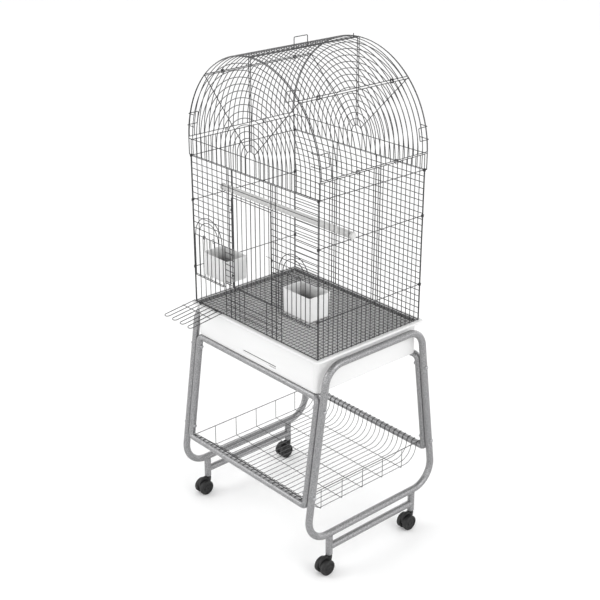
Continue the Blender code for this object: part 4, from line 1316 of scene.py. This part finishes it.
side_x_in = high.x - 0.0014
rail_z = high.z - 0.0012
cross_runs = []
reach = (bar_back.y - bar_front.y) / 2 - 0.081
for i in range(5):
    y = stand_y - reach + i * reach / 2
    under = floor_z - 0.0016
    cross_runs.append([
        (-side_x_in, y, rail_z), (-side_x_in, y, under), (side_x_in, y, under), (side_x_in, y, rail_z),
    ])
parts.append(rods(cross_runs, BASKET_WIRE, 0.0040, sides=6))
rail_runs = []
for side in (LEFT, RIGHT):
    x = side * side_x_in
    rail_runs.append([(x, bar_front.y - 0.004, rail_z), (x, bar_back.y + 0.004, rail_z)])
parts.append(rods(rail_runs, TIE, 0.001))
dress("shelf_basket_wires", parts, "shelf_basket")

# %% [markdown]
# ## Casters
# Each caster has a black nylon fork between two wheels. The fork's outline is a few
# corners cut down to a smooth curve: every corner is replaced by two points a quarter
# of the way along its sides, four times over. The wheels are one turned profile each,
# round a common axle.

# %% Casters


def softened(points, times=4):
    for _ in range(times):
        cut = []
        for a, b in zip(points, points[1:] + points[:1]):
            cut.append((a[0] * 0.75 + b[0] * 0.25, a[1] * 0.75 + b[1] * 0.25))
            cut.append((a[0] * 0.25 + b[0] * 0.75, a[1] * 0.25 + b[1] * 0.75))
        points = cut
    return points


wheel_profile = [
    (0.0053, 0.0046), (0.0053, 0.0232), (0.0060, 0.0244), (0.0074, 0.0250), (0.0165, 0.0250), (0.0186, 0.0243),
    (0.0199, 0.0228), (0.0204, 0.0205), (0.0202, 0.0190), (0.0184, 0.0182), (0.0176, 0.0172), (0.0174, 0.0108),
    (0.0182, 0.0096), (0.0200, 0.0088), (0.0205, 0.0074), (0.0205, 0.0046),
]
for side, tag in BOTH_SIDES:
    for end in ("front", "back"):
        name = end + "_" + tag
        fork_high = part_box("caster_fork_" + name)[1]
        wheel_low, wheel_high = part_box("caster_wheel_" + name)
        x = (wheel_low.x + wheel_high.x) / 2
        axle_y = (wheel_low.y + wheel_high.y) / 2
        wheel_r = (wheel_high.z - wheel_low.z) / 2
        stem_y = middle("caster_post_" + name).y
        foot_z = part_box("caster_post_" + name)[0].z
        outline = softened([
            (stem_y + 0.0095, foot_z - 0.0005), (stem_y - 0.0090, foot_z - 0.0005), (axle_y - 0.0150, foot_z - 0.0065),
            (axle_y - 0.0220, 1.55 * wheel_r), (axle_y - 0.0205, 0.85 * wheel_r), (axle_y, 0.62 * wheel_r),
            (axle_y + 0.0130, 0.72 * wheel_r), (stem_y + 0.0060, 1.20 * wheel_r), (stem_y + 0.0100, foot_z - 0.0140),
        ])
        hood = skin([[(x + dx, y, z) for y, z in outline] for dx in (-0.0045, 0.0045)], black_nylon)
        parts = [
            worked(hood, bevel=0.0012, angle=60),
            turned([(foot_z - 0.0100, 0.0078), (foot_z - 0.0040, 0.0085), (foot_z - 0.0006, 0.0096),
                    (foot_z - 0.0002, 0.0090)], (x, stem_y, 0), "Z", black_nylon, 28),
            turned([(foot_z - 0.0040, 0.0042), (fork_high.z - 0.0012, 0.0042), (fork_high.z, 0.0032)],
                   (x, stem_y, 0), "Z", zinc, 18),
        ]
        dress("caster_hood_" + name, parts, "caster_fork_" + name, angle=45)
        hub = (x, axle_y, wheel_r)
        discs = [turned([(s * a, r) for a, r in wheel_profile], hub, "X", black_nylon, 48, True) for s in (-1, 1)]
        axle_profile = [(-0.0203, 0.0030), (-0.0198, 0.0036), (0.0198, 0.0036), (0.0203, 0.0030)]
        axle = turned(axle_profile, hub, "X", black_nylon, 16)
        place("caster_twin_wheel_" + name, discs + [axle], "wheel_" + name, ["caster_wheel_" + name], "black_plastic",
              angle=35)

# %% [markdown]
# ## Floor, light and camera
# The cage stands on a pale floor so wide that it fills the view. The sky round it is
# bright at the horizon and darker overhead, which is what gives the tubes their dark
# upper edge: polished tube is a mirror, and it shows the room around it. Two
# large soft lights add a little direction.

# %% Floor
floor_mat = bpy.data.materials.new("studio_floor")
floor_mat.use_nodes = True
floor_shader = floor_mat.node_tree.nodes["Principled BSDF"]
floor_shader.inputs["Base Color"].default_value = (0.97, 0.97, 0.97, 1)
floor_shader.inputs["Roughness"].default_value = 0.9
floor_shader.inputs["Specular IOR Level"].default_value = 0.1
reach = 40.0
floor_mesh = bpy.data.meshes.new("studio_floor")
floor_mesh.from_pydata([(-reach, -reach, 0), (reach, -reach, 0), (reach, reach, 0), (-reach, reach, 0)], [],
                       [(0, 1, 2, 3)])
floor_mesh.materials.append(floor_mat)
studio_floor = bpy.data.objects.new("studio_floor", floor_mesh)
scene.collection.objects.link(studio_floor)

# %% World
world = bpy.data.worlds.new("studio")
world.use_nodes = True
scene.world = world
sky = world.node_tree
way = sky.nodes.new("ShaderNodeTexCoord")
apart = add(sky, "ShaderNodeSeparateXYZ", Vector=way.outputs["Generated"])
height = add(sky, "ShaderNodeMapRange", Value=apart.outputs[2])
height.inputs["From Min"].default_value = 0.0
height.inputs["From Max"].default_value = 1.0
SKY_HORIZON, SKY_TOP = 2.0, 0.55
height.inputs["To Min"].default_value = SKY_HORIZON
height.inputs["To Max"].default_value = SKY_TOP
backdrop = sky.nodes["Background"]
backdrop.inputs["Color"].default_value = (1, 1, 1, 1)
sky.links.new(height.outputs[0], backdrop.inputs["Strength"])
print("sky from", SKY_HORIZON, "at the horizon to", SKY_TOP, "overhead")


# %% Soft lights
def soft_light(name, spot, aim, size, power):
    lamp = bpy.data.lights.new(name, "AREA")
    lamp.shape = "DISK"
    lamp.size = size
    lamp.energy = power
    holder = bpy.data.objects.new(name, lamp)
    holder.location = spot
    holder.rotation_euler = (Vector(aim) - Vector(spot)).to_track_quat("-Z", "Y").to_euler()
    scene.collection.objects.link(holder)
    return holder


soft_light("key", (-2.6, -3.4, 3.6), (0, 0, 0.8), 2.4, 45)
soft_light("fill", (3.6, 0.8, 2.6), (0, 0, 0.7), 2.0, 30)

# %% Camera
CAMERA_AT = (2.5035, -2.2323, 2.2413)
CAMERA_TURN = math.radians(48.22)
CAMERA_TILT = math.radians(90 - 23.87)
eye = bpy.data.cameras.new("camera")
eye.lens = 72.73
eye.sensor_width = 36
eye.dof.use_dof = False
viewer = bpy.data.objects.new("camera", eye)
viewer.location = CAMERA_AT
viewer.rotation_euler = (CAMERA_TILT, 0, CAMERA_TURN)
scene.collection.objects.link(viewer)
scene.camera = viewer
scene.view_settings.view_transform = "Standard"
print("camera at", CAMERA_AT)
